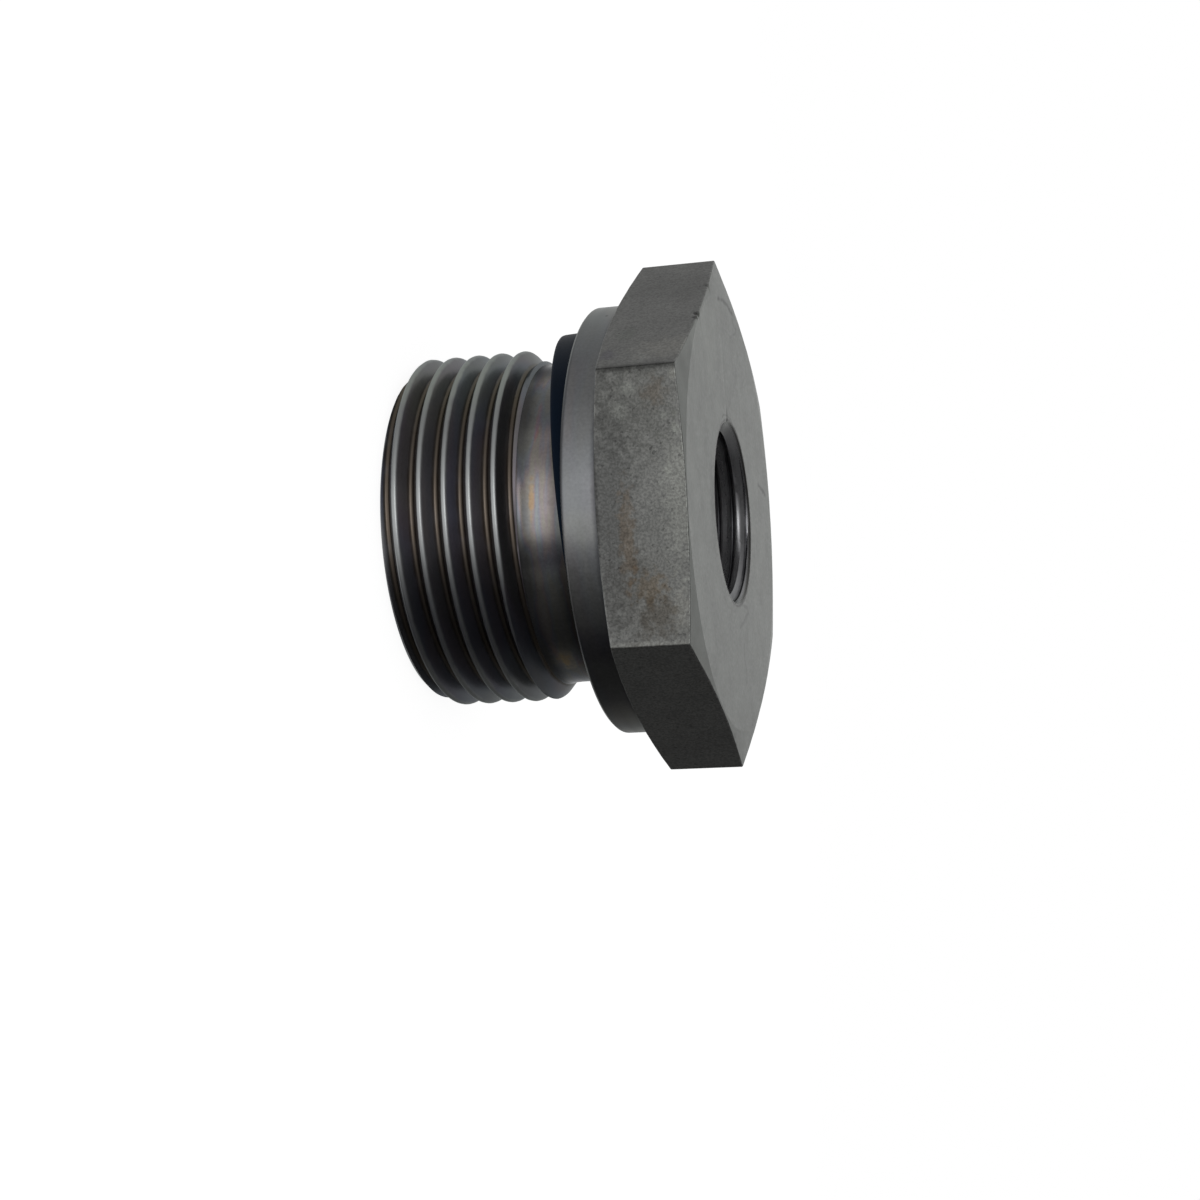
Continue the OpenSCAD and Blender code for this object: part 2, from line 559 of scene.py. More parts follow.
@dataclass(frozen=True)
class SteelFinish:
    """Blackened steel. The fields say how light, rough, mottled, marked and tinted it is."""

    title: str
    tone: Colour
    roughness: float
    patch: tuple[float, float] = (4.0, 0.10)
    grain: tuple[float, float] = (0.25, 0.10)
    marks: tuple[float, float] = (0.12, 0.002)
    tint: float = 0.0
    tint_size: float = 2.0
    wear: float = 0.15
    worn: Colour = (0.26, 0.26, 0.25)
    pebble: float = 0.01
    band: float = 0.10
    ragged_edge: float = 0.0
    metal: float = 1.0
    glare: Colour = (0.80, 0.82, 0.80)
    film_gain: float = 2.0
    cloud_scale: float = 1.5
    cloud_detail: float = 4.0
    rough_grain: float = 1.2
    least_rough: float = 0.05
    ragged_scale: float = 2.2
    spots: tuple[Spot, ...] = ()

    def material(self) -> Material:
        """Build the finish.

        Returns:
            The material, with its colour, roughness and relief from nodes.
        """
        material, graph = node_material(self.title)
        shader = graph.tree.nodes["Principled BSDF"]
        shader.inputs["Metallic"].default_value = self.metal
        shader.inputs["Specular Tint"].default_value = (*self.glare, 1.0)
        place = graph.place()
        mottle = OxideMottle.place(
            graph,
            place=place,
            patch_size=self.patch[0],
            patch_amount=self.patch[1],
            grain_size=self.grain[0],
            grain_amount=self.grain[1],
        )
        marks = TurningMarks.place(graph, place=place, feed=self.marks[0], depth=self.marks[1])
        colour = graph.times((*self.tone, 1.0), mottle["Tone"])
        if self.tint:
            film = HeatTint.place(graph, place=place, size=self.tint_size)["Colour"]
            lifted = graph.times(colour, (*[self.film_gain] * 3, 1.0))
            colour = graph.mix(self.tint, colour, graph.times(lifted, film))
        # The edge mask takes the worn colour: lighter wear on most finishes, near-black painted shade on
        # the port.
        edge = graph.mark(Mark.EDGE.value)
        wear = EdgeWearAndShade.place(graph, place=place, edge=edge, amount=self.wear)["Mask"]
        colour = graph.mix(wear, colour, (*self.worn, 1.0))
        colour = self.detail(graph, place, colour)
        cloud = graph.noise(place, self.cloud_scale, self.cloud_detail)
        # Spots multiply the colour in soft patches: stains and tints, and patches of painted shade and
        # painted light.
        for spot in self.spots:
            mask = StainAndShadePatch.place(
                graph,
                place=place,
                centre=spot.centre,
                reach=spot.reach,
                noise=cloud,
                ragged=spot.ragged,
            )["Mask"]
            colour = graph.mix(mask, colour, graph.times(colour, (*spot.shade, 1.0)))
        sheen = graph.math("MULTIPLY_ADD", mottle["Grain"], self.rough_grain, self.roughness)
        swing = graph.math("SUBTRACT", marks["Band"], 0.5)
        sheen = graph.math("MULTIPLY_ADD", swing, self.band, sheen)
        height = self.relief(graph, place, marks["Height"], mottle["Grain"])
        ragged = graph.math("MULTIPLY", edge, graph.noise(place, self.ragged_scale))
        height = graph.math("MULTIPLY_ADD", ragged, self.ragged_edge, height)
        bump = graph.add("ShaderNodeBump", {"Strength": 1.0, "Distance": MM, "Height": height})
        graph.put(shader.inputs["Base Color"], colour)
        graph.put(shader.inputs["Roughness"], graph.math("MAXIMUM", sheen, self.least_rough))
        graph.put(shader.inputs["Normal"], bump.outputs["Normal"])
        return material

    def detail(self, graph: Graph, place: Feed, colour: Feed) -> Feed:
        """Return the colour with what only this kind of finish has."""
        return colour

    def relief(self, graph: Graph, place: Feed, marks: Feed, grain: Feed) -> Feed:
        """Return the fine height of the surface in mm."""
        return graph.math("MULTIPLY_ADD", grain, self.pebble, marks)


@dataclass(frozen=True)
class ThreadFinish(SteelFinish):
    """Steel of a cut thread: dark flanks, brownish roots and lighter crests."""

    root: Colour = (0.100, 0.082, 0.066)
    crest: Colour = (0.28, 0.28, 0.28)
    root_to: float = 0.22
    crest_from: float = 0.80
    streak_scale: float = 0.5
    streak: float = 0.10
    inward: bool = False

    def detail(self, graph: Graph, place: Feed, colour: Feed) -> Feed:
        """Colour the crests and the roots by the mark that the thread rule leaves.

        Args:
            graph: the material's tree.
            place: the place on the object, in mm.
            colour: the colour so far.

        Returns:
            The new colour.
        """
        mark = graph.mark(Mark.CREST.value)
        high = graph.math("SUBTRACT", 1.0, mark) if self.inward else mark
        streaks = graph.span(graph.noise(place, self.streak_scale), -self.streak, self.streak)
        high = graph.math("ADD", high, streaks)
        colour = graph.mix(graph.ease(high, self.root_to, 0.0), colour, (*self.root, 1.0))
        return graph.mix(graph.ease(high, self.crest_from, 1.0), colour, (*self.crest, 1.0))


@dataclass(frozen=True)
class FaceFinish(SteelFinish):
    """The turned end face, with hairline scratches where fittings have turned on it, and painted dark
    lines of shade at the port's rim and round the burrs at its mouth.
    """

    scratches: tuple[Scratch, ...] = ()
    height: float = 29.2
    # The rim fields paint a dark line of shade round the port's mouth.
    rim: float = 8.68
    rim_width: float = 0.22
    rim_amount: float = 0.8
    rim_shade: Colour = (0.03, 0.029, 0.027)
    wander_scale: float = 1.7

    def detail(self, graph: Graph, place: Feed, colour: Feed) -> Feed:
        """Darken each scratch from point to point, and paint a dark line of shade round the port's rim.

        Args:
            graph: the material's tree.
            place: the place on the object, in mm.
            colour: the colour so far.

        Returns:
            The new colour.
        """
        # The dark rim is painted shade along the edge of the port's mouth.
        off = graph.math("ABSOLUTE", graph.math("SUBTRACT", graph.out(place), self.rim))
        rim = graph.math("MULTIPLY", graph.ease(off, self.rim_width, 0.0), self.rim_amount)
        colour = graph.mix(rim, colour, (*self.rim_shade, 1.0))
        wander = graph.noise(place, self.wander_scale)
        for scratch in self.scratches:
            mask = 0.0
            for start, end in zip(scratch.points, scratch.points[1:]):
                part = LineScratch.place(
                    graph,
                    place=place,
                    start=(*start, self.height),
                    end=(*end, self.height),
                    noise=wander,
                    width=scratch.width,
                )["Mask"]
                mask = graph.math("MAXIMUM", mask, part)
            dark = graph.times(colour, (*[scratch.shade] * 3, 1.0))
            colour = graph.mix(mask, colour, dark)
        return colour


@dataclass(frozen=True)
class FlatFinish(SteelFinish):
    """A flat of the drawn bar, with a speckled skin that is pitted here and there."""

    net: Speckle = Speckle(4.2, (0.58, 0.40), 0.42, (0.06, 0.06, 0.058))
    pits: Speckle = Speckle(2.6, (0.35, 0.28), 0.55, (0.04, 0.04, 0.04))
    swell_scale: float = 1.1
    swell_detail: float = 3.0
    swell: float = 0.02

    def detail(self, graph: Graph, place: Feed, colour: Feed) -> Feed:
        """Add a dark net between pale grains, and a few pits."""
        colour = self.net.over(graph, place, colour)
        return self.pits.over(graph, place, colour)

    def relief(self, graph: Graph, place: Feed, marks: Feed, grain: Feed) -> Feed:
        """Return the pebbled height of the drawn skin, with no turning marks."""
        noise = graph.noise(place, self.swell_scale, self.swell_detail)
        return graph.math("MULTIPLY_ADD", grain, self.pebble, graph.math("MULTIPLY", noise, self.swell))


@dataclass(frozen=True)
class RubberFinish:
    """Matt black rubber with a faint cool sheen."""

    title: str = "seal rubber"
    tone: Colour = (0.0020, 0.0050, 0.0120)
    roughness: float = 0.50
    gloss: float = 0.085
    glare: Colour = (0.50, 0.76, 1.0)
    patch: tuple[float, float] = (2.5, 0.15)
    dust: Speckle = Speckle(3.0, (0.66, 0.78), 0.05, (0.10, 0.10, 0.10), noise_detail=3.0)
    bump: float = 0.05

    def material(self) -> Material:
        """Build the finish.

        Returns:
            The material, with fine mould grain and dust.
        """
        material, graph = node_material(self.title)
        shader = graph.tree.nodes["Principled BSDF"]
        shader.inputs["Specular IOR Level"].default_value = self.gloss
        shader.inputs["Specular Tint"].default_value = (*self.glare, 1.0)
        place = graph.place()
        size, amount = self.patch
        mottle = OxideMottle.place(graph, place=place, patch_size=size, patch_amount=amount)
        colour = graph.times((*self.tone, 1.0), mottle["Tone"])
        colour = self.dust.over(graph, place, colour)
        feeds = {"Distance": MM, "Height": mottle["Grain"], "Strength": self.bump}
        bump = graph.add("ShaderNodeBump", feeds)
        graph.put(shader.inputs["Base Color"], colour)
        graph.put(shader.inputs["Roughness"], graph.math("ADD", mottle["Grain"], self.roughness))
        graph.put(shader.inputs["Normal"], bump.outputs["Normal"])
        return material


@dataclass(frozen=True)
class PipeThread:
    """A parallel pipe thread with the rounded 55 degree form. Lengths in mm, angles in degrees.

    A sixth of the sharp triangle is rounded off at the crests, and as much at the roots.
    """

    major: float
    pitch: float
    first_crest: float
    mark: Mark
    inward: bool = False
    lead_height: float = 0.0
    lead_slope: float = 0.0
    drill: float = 0.0
    arc_steps: int = 3
    flank_steps: int = 2
    half_angle: float = 27.5
    spare_pitches: int = 2
    phase_digits: int = 9

    @property
    def sharp(self) -> float:
        """Height of the sharp triangle under one pitch."""
        return self.pitch / (2 * math.tan(math.radians(self.half_angle)))

    @property
    def rounding(self) -> float:
        """Radius of the crests and roots."""
        return self.sharp / 6 / (1 / math.sin(math.radians(self.half_angle)) - 1)

    @property
    def minor(self) -> float:
        """Radius at the roots of a male thread, or at the lands of a female one."""
        return self.major - self.sharp * 2 / 3

    def phases(self) -> list[float]:
        """Work out where in one pitch the skin has a row.

        Returns:
            The places, as shares of the pitch.
        """
        angle = math.radians(self.half_angle)
        half = self.rounding * math.cos(angle) / self.pitch
        steps = range(1 - self.arc_steps, self.arc_steps)
        arc = [half * math.sin(math.pi / 2 * k / self.arc_steps) for k in steps]
        end = 0.5 - half
        if self.drill:
            fall = self.major - self.rounding * (1 - math.sin(angle)) - self.drill
            end = half + fall * math.tan(angle) / self.pitch
        flank = [half + (end - half) * k / self.flank_steps for k in range(self.flank_steps + 1)]
        far = [0.5] if self.drill else [0.5 + a for a in arc]
        places = [*arc, *flank, *far, *(1 - f for f in flank)]
        return sorted({round(p % 1.0, self.phase_digits) for p in places})

    def heights(self, low: float, high: float, angles: np.ndarray) -> list[np.ndarray]:
        """Work out rows that follow the helix, pressed between two heights.

        Args:
            low: the lower end of the thread.
            high: the upper end.
            angles: the directions of the columns, from 0 to 360 degrees.

        Returns:
            The height of each row at each direction, the lowest row first.
        """
        turn = (angles - self.first_crest) / 360
        first = math.floor(low / self.pitch) - self.spare_pitches
        last = math.ceil(high / self.pitch) + self.spare_pitches
        rows = []
        for pitch_number in range(first, last + 1):
            for phase in self.phases():
                row = (pitch_number + phase + turn) * self.pitch
                if row.max() > low and row.min() < high:
                    rows.append(np.clip(row, low, high))
        return rows


class ThreadRule:
    """The Geometry Nodes tree that cuts a pipe thread into a turned skin."""

    title = "pipe thread"
    bare_from = 0.06
    moved_from = 0.5
    dressed_from = 0.99
    inputs = {
        "Geometry": "Geometry",
        "Zone": "String",
        "Major radius": "Float",
        "Minor radius": "Float",
        "Rounding": "Float",
        "Pitch": "Float",
        "Half angle": "Float",
        "First crest": "Float",
        "Inward": "Bool",
        "Lead height": "Float",
        "Lead slope": "Float",
        "Finish": "Material",
    }

    def __init__(self) -> None:
        """Build the tree."""
        self.tree = bpy.data.node_groups.new(self.title, "GeometryNodeTree")
        self.tree.is_modifier = True
        self.keys = {}
        for name, kind in self.inputs.items():
            socket = self.tree.interface.new_socket(name, in_out="INPUT", socket_type="NodeSocket" + kind)
            self.keys[name] = socket.identifier
        self.tree.interface.new_socket("Geometry", in_out="OUTPUT", socket_type="NodeSocketGeometry")
        self.fill(Graph(self.tree))

    def form(self, graph: Graph, given: NodeOutputs, away: Feed) -> NodeSocket:
        """Add the thread's section.

        Args:
            graph: the tree to fill.
            given: the tree's inputs.
            away: the distance along the axis from the nearest crest.

        Returns:
            The radius of the thread form at that distance.
        """
        rounding = given["Rounding"]
        sine = graph.math("SINE", given["Half angle"])
        half = graph.math("MULTIPLY", rounding, graph.math("COSINE", given["Half angle"]))
        from_root = graph.math("SUBTRACT", graph.math("MULTIPLY", given["Pitch"], 0.5), away)
        top = self.arc(graph, rounding, away)
        crest = graph.math("ADD", graph.math("SUBTRACT", given["Major radius"], rounding), top)
        bottom = self.arc(graph, rounding, from_root)
        root = graph.math("SUBTRACT", graph.math("ADD", given["Minor radius"], rounding), bottom)
        drop = graph.math("MULTIPLY", rounding, graph.math("SUBTRACT", 1.0, sine))
        shoulder = graph.math("SUBTRACT", given["Major radius"], drop)
        along = graph.math("SUBTRACT", away, half)
        fall = graph.math("DIVIDE", along, graph.math("TANGENT", given["Half angle"]))
        flank = graph.math("SUBTRACT", shoulder, fall)
        low = self.choose(graph, graph.math("LESS_THAN", from_root, half), root, flank)
        return self.choose(graph, graph.math("LESS_THAN", away, half), crest, low)

    @staticmethod
    def arc(graph: Graph, rounding: Feed, distance: Feed) -> NodeSocket:
        """Add the height of a rounded tip.

        Args:
            graph: the tree to fill.
            rounding: the tip's radius.
            distance: the distance along the axis from the tip's middle.

        Returns:
            How high the rounding stands over its centre at that distance.
        """
        squared = graph.math("MULTIPLY", rounding, rounding)
        negative = graph.math("MULTIPLY", distance, -1.0)
        inside = graph.math("MULTIPLY_ADD", negative, distance, squared)
        return graph.math("SQRT", graph.math("MAXIMUM", inside, 0.0))

    @staticmethod
    def choose(graph: Graph, test: Feed, yes: Feed, no: Feed) -> NodeSocket:
        """Return one of two numbers by a test."""
        feeds = {"Switch": test, "True": yes, "False": no}
        return graph.add("GeometryNodeSwitch", feeds, input_type="FLOAT").outputs[0]

    @staticmethod
    def from_crest(graph: Graph, given: NodeOutputs, axes: NodeOutputs) -> Feed:
        """Add the helix.

        Args:
            graph: the tree to fill.
            given: the tree's inputs.
            axes: the point's X, Y and Z.

        Returns:
            The distance along the axis from the nearest crest.
        """
        around = graph.math("ARCTAN2", axes["Y"], axes["X"])
        turned = graph.math("DIVIDE", graph.math("SUBTRACT", around, given["First crest"]), math.tau)
        turns = graph.math("SUBTRACT", graph.math("DIVIDE", axes["Z"], given["Pitch"]), turned)
        off = graph.math("SUBTRACT", turns, graph.math("ROUND", turns))
        return graph.math("MULTIPLY", graph.math("ABSOLUTE", off), given["Pitch"])

    def fill(self, graph: Graph) -> None:
        """Add the rule: work out the form, move the zone's points, weld, mark and dress them.

        Args:
            graph: the tree to fill.
        """
        given = graph.add("NodeGroupInput").outputs
        feeds = {"Name": given["Zone"]}
        zone = graph.add("GeometryNodeInputNamedAttribute", feeds, data_type="FLOAT").outputs[0]
        place = graph.add("GeometryNodeInputPosition").outputs[0]
        axes = graph.add("ShaderNodeSeparateXYZ", {0: place}).outputs
        blank = graph.out(place)
        below = graph.math("MAXIMUM", graph.math("SUBTRACT", given["Lead height"], axes["Z"]), 0.0)
        lead = graph.math("MULTIPLY", below, given["Lead slope"])
        section = self.form(graph, given, self.from_crest(graph, given, axes))
        form = graph.math("SUBTRACT", section, lead)
        outer = graph.math("MAXIMUM", blank, form)
        inner = graph.math("MINIMUM", blank, form)
        radius = self.choose(graph, given["Inward"], outer, inner)
        ratio = graph.math("DIVIDE", radius, blank)
        factors = graph.add("ShaderNodeCombineXYZ", {"X": ratio, "Y": ratio, "Z": 1.0}).outputs[0]
        moved = graph.vector("MULTIPLY", place, factors)
        depth = graph.math("SUBTRACT", given["Major radius"], given["Minor radius"])
        share = graph.math("DIVIDE", graph.math("SUBTRACT", radius, given["Minor radius"]), depth)
        cut_off = graph.math("DIVIDE", graph.math("SUBTRACT", form, radius), depth)
        bare = graph.ease(graph.math("ABSOLUTE", cut_off), 0.0, self.bare_from)
        inside = graph.math("GREATER_THAN", zone, self.moved_from)
        feeds = {
            "Geometry": given["Geometry"],
            "Selection": inside,
            "Name": Mark.CREST.value,
            "Value": graph.span(bare, share, 0.5),
        }
        store = "GeometryNodeStoreNamedAttribute"
        marked = graph.add(store, feeds, data_type="FLOAT", domain="POINT").outputs[0]
        feeds = {"Geometry": marked, "Selection": inside, "Position": moved}
        cut = graph.add("GeometryNodeSetPosition", feeds).outputs[0]
        feeds = {"Geometry": cut, "Distance": WELD}
        welded = graph.add("GeometryNodeMergeByDistance", feeds).outputs[0]
        real = graph.add("GeometryNodeRealizeInstances", {"Geometry": welded}).outputs[0]
        whole = graph.math("GREATER_THAN", zone, self.dressed_from)
        feeds = {"Geometry": real, "Selection": whole, "Material": given["Finish"]}
        dressed = graph.add("GeometryNodeSetMaterial", feeds).outputs[0]
        graph.add("NodeGroupOutput", {"Geometry": dressed})

    def cut(self, piece: Object, thread: PipeThread, finish: Material) -> None:
        """Add the rule to a piece as a modifier.

        Args:
            piece: the turned skin.
            thread: the thread to cut.
            finish: the material of the thread.
        """
        modifier = piece.modifiers.new(thread.mark.value, "NODES")
        modifier.node_group = self.tree
        values = {
            "Zone": thread.mark.value,
            "Major radius": thread.major * MM,
            "Minor radius": thread.minor * MM,
            "Rounding": thread.rounding * MM,
            "Pitch": thread.pitch * MM,
            "Half angle": math.radians(thread.half_angle),
            "First crest": math.radians(thread.first_crest),
            "Inward": thread.inward,
            "Lead height": thread.lead_height * MM,
            "Lead slope": thread.lead_slope,
            "Finish": finish,
        }
        for name, value in values.items():
            modifier[self.keys[name]] = value


@dataclass(frozen=True)
class Corner:
    """A corner of a section line, in mm. A field may be one number or one for each column."""

    radius: float | np.ndarray
    height: float | np.ndarray
    soft: float | np.ndarray = 0.0
    zone: Zone = Zone.TURNED
    edge: float = 1.0


@dataclass
class Ring:
    """One ring of a skin. The zone is that of the band that follows it."""

    radius: np.ndarray
    height: np.ndarray
    edge: float
    zone: Zone
    marks: tuple[Mark, ...] = ()


class SectionLine:
    """Turns corners into rings, with each soft corner rounded and held by rings beside it."""

    bends = (1 / 3, 2 / 3)
    start_share = 0.42
    hold_share = 0.48
    start_edge = 0.6
    shortest = 1e-9

    def __init__(self, columns: int) -> None:
        """Keep how many columns the skin has."""
        self.columns = columns

    def spread(self, corner: Corner) -> np.ndarray:
        """Return a corner's radius and height at every column, as two rows."""
        ones = np.ones(self.columns)
        return np.stack([corner.radius * ones, corner.height * ones])

    @staticmethod
    def toward(here: np.ndarray, there: np.ndarray, reach: np.ndarray, most: float) -> np.ndarray:
        """Go from one point on the way to another.

        Args:
            here: where the way starts.
            there: where it leads.
            reach: how far to go.
            most: the largest share of the way to go.

        Returns:
            The point that is reached.
        """
        way = there - here
        length = np.maximum(np.hypot(*way), SectionLine.shortest)
        return here + way * np.minimum(reach / length, most)

    def rings(self, corners: Sequence[Corner]) -> list[Ring]:
        """Lay rings along the corners.

        Args:
            corners: the section's corners in order.

        Returns:
            The rings in the same order.
        """
        laid = []
        for k, corner in enumerate(corners):
            here = self.spread(corner)
            if np.all(np.asarray(corner.soft) == 0) or k in (0, len(corners) - 1):
                laid.append(Ring(*here, 0.0, corner.zone))
                continue
            before, after = self.spread(corners[k - 1]), self.spread(corners[k + 1])
            zone = corners[k - 1].zone
            soft = corner.soft * np.ones(self.columns)
            start = self.toward(here, before, soft, self.start_share)
            end = self.toward(here, after, soft, self.start_share)
            hold = self.toward(here, before, 2 * soft, self.hold_share)
            laid.append(Ring(*hold, 0.0, zone))
            laid.append(Ring(*start, self.start_edge * corner.edge, zone))
            for number, share in enumerate(self.bends):
                bent = (1 - share) ** 2 * start + 2 * share * (1 - share) * here + share**2 * end
                laid.append(Ring(*bent, corner.edge, zone if number == 0 else corner.zone))
            laid.append(Ring(*end, self.start_edge * corner.edge, corner.zone))
            hold = self.toward(here, after, 2 * soft, self.hold_share)
            laid.append(Ring(*hold, 0.0, corner.zone))
        return laid


@dataclass(frozen=True)
class Dent:
    """A knock in an edge: a smooth push of the skin near one place, in mm."""

    centre: tuple[float, float, float]
    reach: float
    push: tuple[float, float, float]


def skin_mesh(
    name: str,
    rings: Sequence[Ring],
    angles: np.ndarray,
    dents: Sequence[Dent] = (),
    corner_edge: np.ndarray | None = None,
) -> Mesh:
    """Join rings about the axis into one closed skin.

    Args:
        name: the mesh's name.
        rings: the rings in order. The last one joins the first.
        angles: the directions of the columns in degrees, from 0 to 360.
        dents: knocks to press into the skin.
        corner_edge: how much each column is an edge, for the rings of flats.

    Returns:
        The mesh, in metres, with its edge and thread marks.
    """
    radians = np.radians(angles)
    radius = np.array([ring.radius * np.ones(len(angles)) for ring in rings])
    height = np.array([ring.height * np.ones(len(angles)) for ring in rings])
    points = np.stack([radius * np.cos(radians), radius * np.sin(radians), height], axis=-1)
    for dent in dents:
        far = np.linalg.norm(points - np.array(dent.centre), axis=-1) / dent.reach
        points += (np.clip(1 - far**2, 0, 1) ** 2)[..., None] * np.array(dent.push)
    rows, columns = radius.shape
    index = np.arange(rows * columns).reshape(rows, columns)
    up = np.roll(index, -1, axis=0)
    quads = np.stack([index[:, :-1], index[:, 1:], up[:, 1:], up[:, :-1]], axis=-1)
    mesh = bpy.data.meshes.new(name)
    mesh.from_pydata((points.reshape(-1, 3) * MM).tolist(), [], quads.reshape(-1, 4).tolist())
    edge = np.array([ring.edge * np.ones(columns) for ring in rings])
    if corner_edge is not None:
        flat = np.array([ring.zone is Zone.FLAT for ring in rings])
        edge = np.where(flat[:, None], np.maximum(edge, corner_edge), edge)
    marks = {Mark.EDGE: edge}
    for mark in (Mark.STUD_THREAD, Mark.PORT_THREAD):
        marks[mark] = np.array([np.full(columns, float(mark in ring.marks)) for ring in rings])
    for mark, values in marks.items():
        layer = mesh.attributes.new(mark.value, "FLOAT", "POINT")
        layer.data.foreach_set("value", values.astype(np.float32).ravel())
    slots = np.repeat([ring.zone.value for ring in rings], columns - 1)
    mesh.polygons.foreach_set("material_index", slots.astype(np.int32))
    mesh.update()
    return mesh


def plain_copy(piece: Object, name: str, sharp_angle: float) -> Object:
    """Turn a piece and its modifiers into a plain smooth mesh and drop the first object.

    Args:
        piece: the object with its modifiers.
        name: the new object's name.
        sharp_angle: the angle between faces, in degrees, past which an edge stays sharp.

    Returns:
        The new object.
    """
    graph = bpy.context.evaluated_depsgraph_get()
    evaluated = piece.evaluated_get(graph)
    mesh = bpy.data.meshes.new_from_object(evaluated, preserve_all_data_layers=True, depsgraph=graph)
    mesh.name = name
    bpy.data.objects.remove(piece)
    mesh.polygons.foreach_set("use_smooth", np.ones(len(mesh.polygons), bool))
    mesh.set_sharp_from_angle(angle=math.radians(sharp_angle))
    return link_object(name, mesh)


@dataclass
class SteelBody:
    """The one steel piece: stud, neck, collar, hexagon and port. Lengths in mm.

    A thread's sizes are its major radius, its pitch and the direction of its first crest.
    """

    stud_chamfer: float = 1.3
    relief_z: float = 12.65
    runout_len: float = 1.4
    neck_under: float = 0.19
    neck_fillet: float = 0.25
    collar_z: float = 18.0
    collar_bevel: float = 0.25
    groove_w: float = 3.3
    groove_depth: float = 1.55
    seat_w: float = 1.75
    hex_z: float = 21.2
    corner_round: float = 0.25
    corner_wear: float = 0.45
    back_angle: float = 12.0
    port_angle: float = 8.0
    face_inset: float = 0.2
    edge_soft: float = 0.09
    port_r: float = 7.675
    port_depth: float = 15.0
    mouth_bevel: float = 0.9
    drill_angle: float = 118.0
    flow_r: float = 6.0
    flow_bevel: float = 0.5
    tapped_depth: float = 12.0
    base_columns: int = 216
    hex_corners: int = 6
    sharp_angle: float = 42.0
    stud_sizes: tuple[float, float, float] = (16.6245, 2.309, 346.0)
    port_sizes: tuple[float, float, float] = (8.331, 1.337, 232.0)
    lead_run: float = 1.5
    lead_slope: float = 0.6
    corner_columns: tuple[float, ...] = (-2.0, -1.0, -0.5, 0.0, 0.5, 1.0, 2.0)
    corner_spread: float = 1.5
    knock_spans: tuple[tuple[float, float], ...] = ((194.5, 218.0), (182.0, 186.6))
    knock_step: float = 0.75
    angle_digits: int = 4
    soft_waves: tuple[tuple[int, int], ...] = ((17, 1), (31, 2), (53, 4))
    soft_swing: float = 0.16
    face_soft: float = 0.05
    fine_soft: float = 0.06
    fair_soft: float = 0.08
    floor_soft: float = 0.1
    groove_soft: float = 0.12
    foot_soft: float = 0.15
    neck_soft: float = 0.2
    end_step: float = 0.15
    stud_margin: float = 0.1
    fillet_rows: tuple[float, ...] = (0.1, 0.2, 0.35, 0.55, 0.8, 1.15, 1.6, 2.2)
    neck_from: float = 3.0
    flat_foot: float = 0.6
    flat_rows: tuple[float, ...] = (1.3, 0.8, 0.5, 0.3)
    face_hold: float = 1.5
    mouth_soft: float = 0.13
    mouth_step: float = 0.22

    def __post_init__(self) -> None:
        """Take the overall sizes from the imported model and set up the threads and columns."""
        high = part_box("nipple_body")[1] / MM
        self.top, self.half_flats = high.z, high.y
        self.tapped_z = self.top - self.tapped_depth
        self.stud = PipeThread(*self.stud_sizes, mark=Mark.STUD_THREAD)
        self.port = PipeThread(
            *self.port_sizes,
            mark=Mark.PORT_THREAD,
            inward=True,
            lead_height=self.tapped_z + self.lead_run,
            lead_slope=self.lead_slope,
            drill=self.port_r,
            arc_steps=2,
            flank_steps=1,
        )
        self.mouth_r = self.port_r + self.mouth_bevel
        self.corner_step = 360 / self.hex_corners
        self.neck_r = self.stud.minor - self.neck_under
        self.end_r = self.stud.major - self.stud_chamfer
        self.face_r = self.half_flats - self.face_inset
        self.angles = self.columns()
        self.line = SectionLine(len(self.angles))

    def columns(self) -> np.ndarray:
        """Work out the directions of the columns, closer together at corners and knocks.

        Returns:
            The directions in degrees, from 0 to 360.
        """
        close = [np.linspace(0, 360, self.base_columns + 1)]
        beside = self.corner_reach() * np.array(self.corner_columns)
        for k in range(self.hex_corners + 1):
            close.append(self.corner_step * k + beside)
        for start, end in self.knock_spans:
            close.append(np.arange(start, end, self.knock_step))
        every = np.unique(np.round(np.concatenate(close), self.angle_digits))
        return every[(every >= 0) & (every <= 360)]

    def corner_reach(self) -> float:
        """Work out the angle from a hexagon corner to the end of its rounding.

        Returns:
            The angle about the axis, in degrees.
        """
        centre = (self.half_flats - self.corner_round) / math.cos(math.pi / self.hex_corners)
        side = self.corner_round * math.sin(math.pi / self.hex_corners)
        ahead = centre + self.corner_round * math.cos(math.pi / self.hex_corners)
        return math.degrees(math.atan2(side, ahead))

    def flats(self) -> np.ndarray:
        """Work out how far the hexagon reaches at each column.

        Returns:
            The reach in mm, with the corners rounded.
        """
        step = self.corner_step
        off = np.radians(self.angles % step - step / 2)
        reach = self.half_flats / np.cos(off)
        beside = np.radians(step / 2) - np.abs(off)
        centre = (self.half_flats - self.corner_round) / math.cos(math.radians(step / 2))
        inside = np.maximum(self.corner_round**2 - (centre * np.sin(beside)) ** 2, 0)
        arc = centre * np.cos(beside) + np.sqrt(inside)
        return np.where(np.degrees(beside) < self.corner_reach(), arc, reach)

    def corner_edge(self) -> np.ndarray:
        """Work out how worn each column is at the hexagon's corners.

        Returns:
            The wear at each column, 0 away from the corners.
        """
        step = self.corner_step
        beside = step / 2 - np.abs(self.angles % step - step / 2)
        wear = np.clip(self.corner_spread - beside / self.corner_reach(), 0, 1)
        return self.corner_wear * wear

    def uneven_soft(self) -> np.ndarray:
        """Work out how soft the hexagon's edges are, which changes a little on the way.

        Returns:
            The softness at each column, in mm.
        """
        turn = np.radians(self.angles)
        swing = sum(np.sin(turn * count + start) for count, start in self.soft_waves)
        return self.edge_soft * (1 + self.soft_swing * swing)

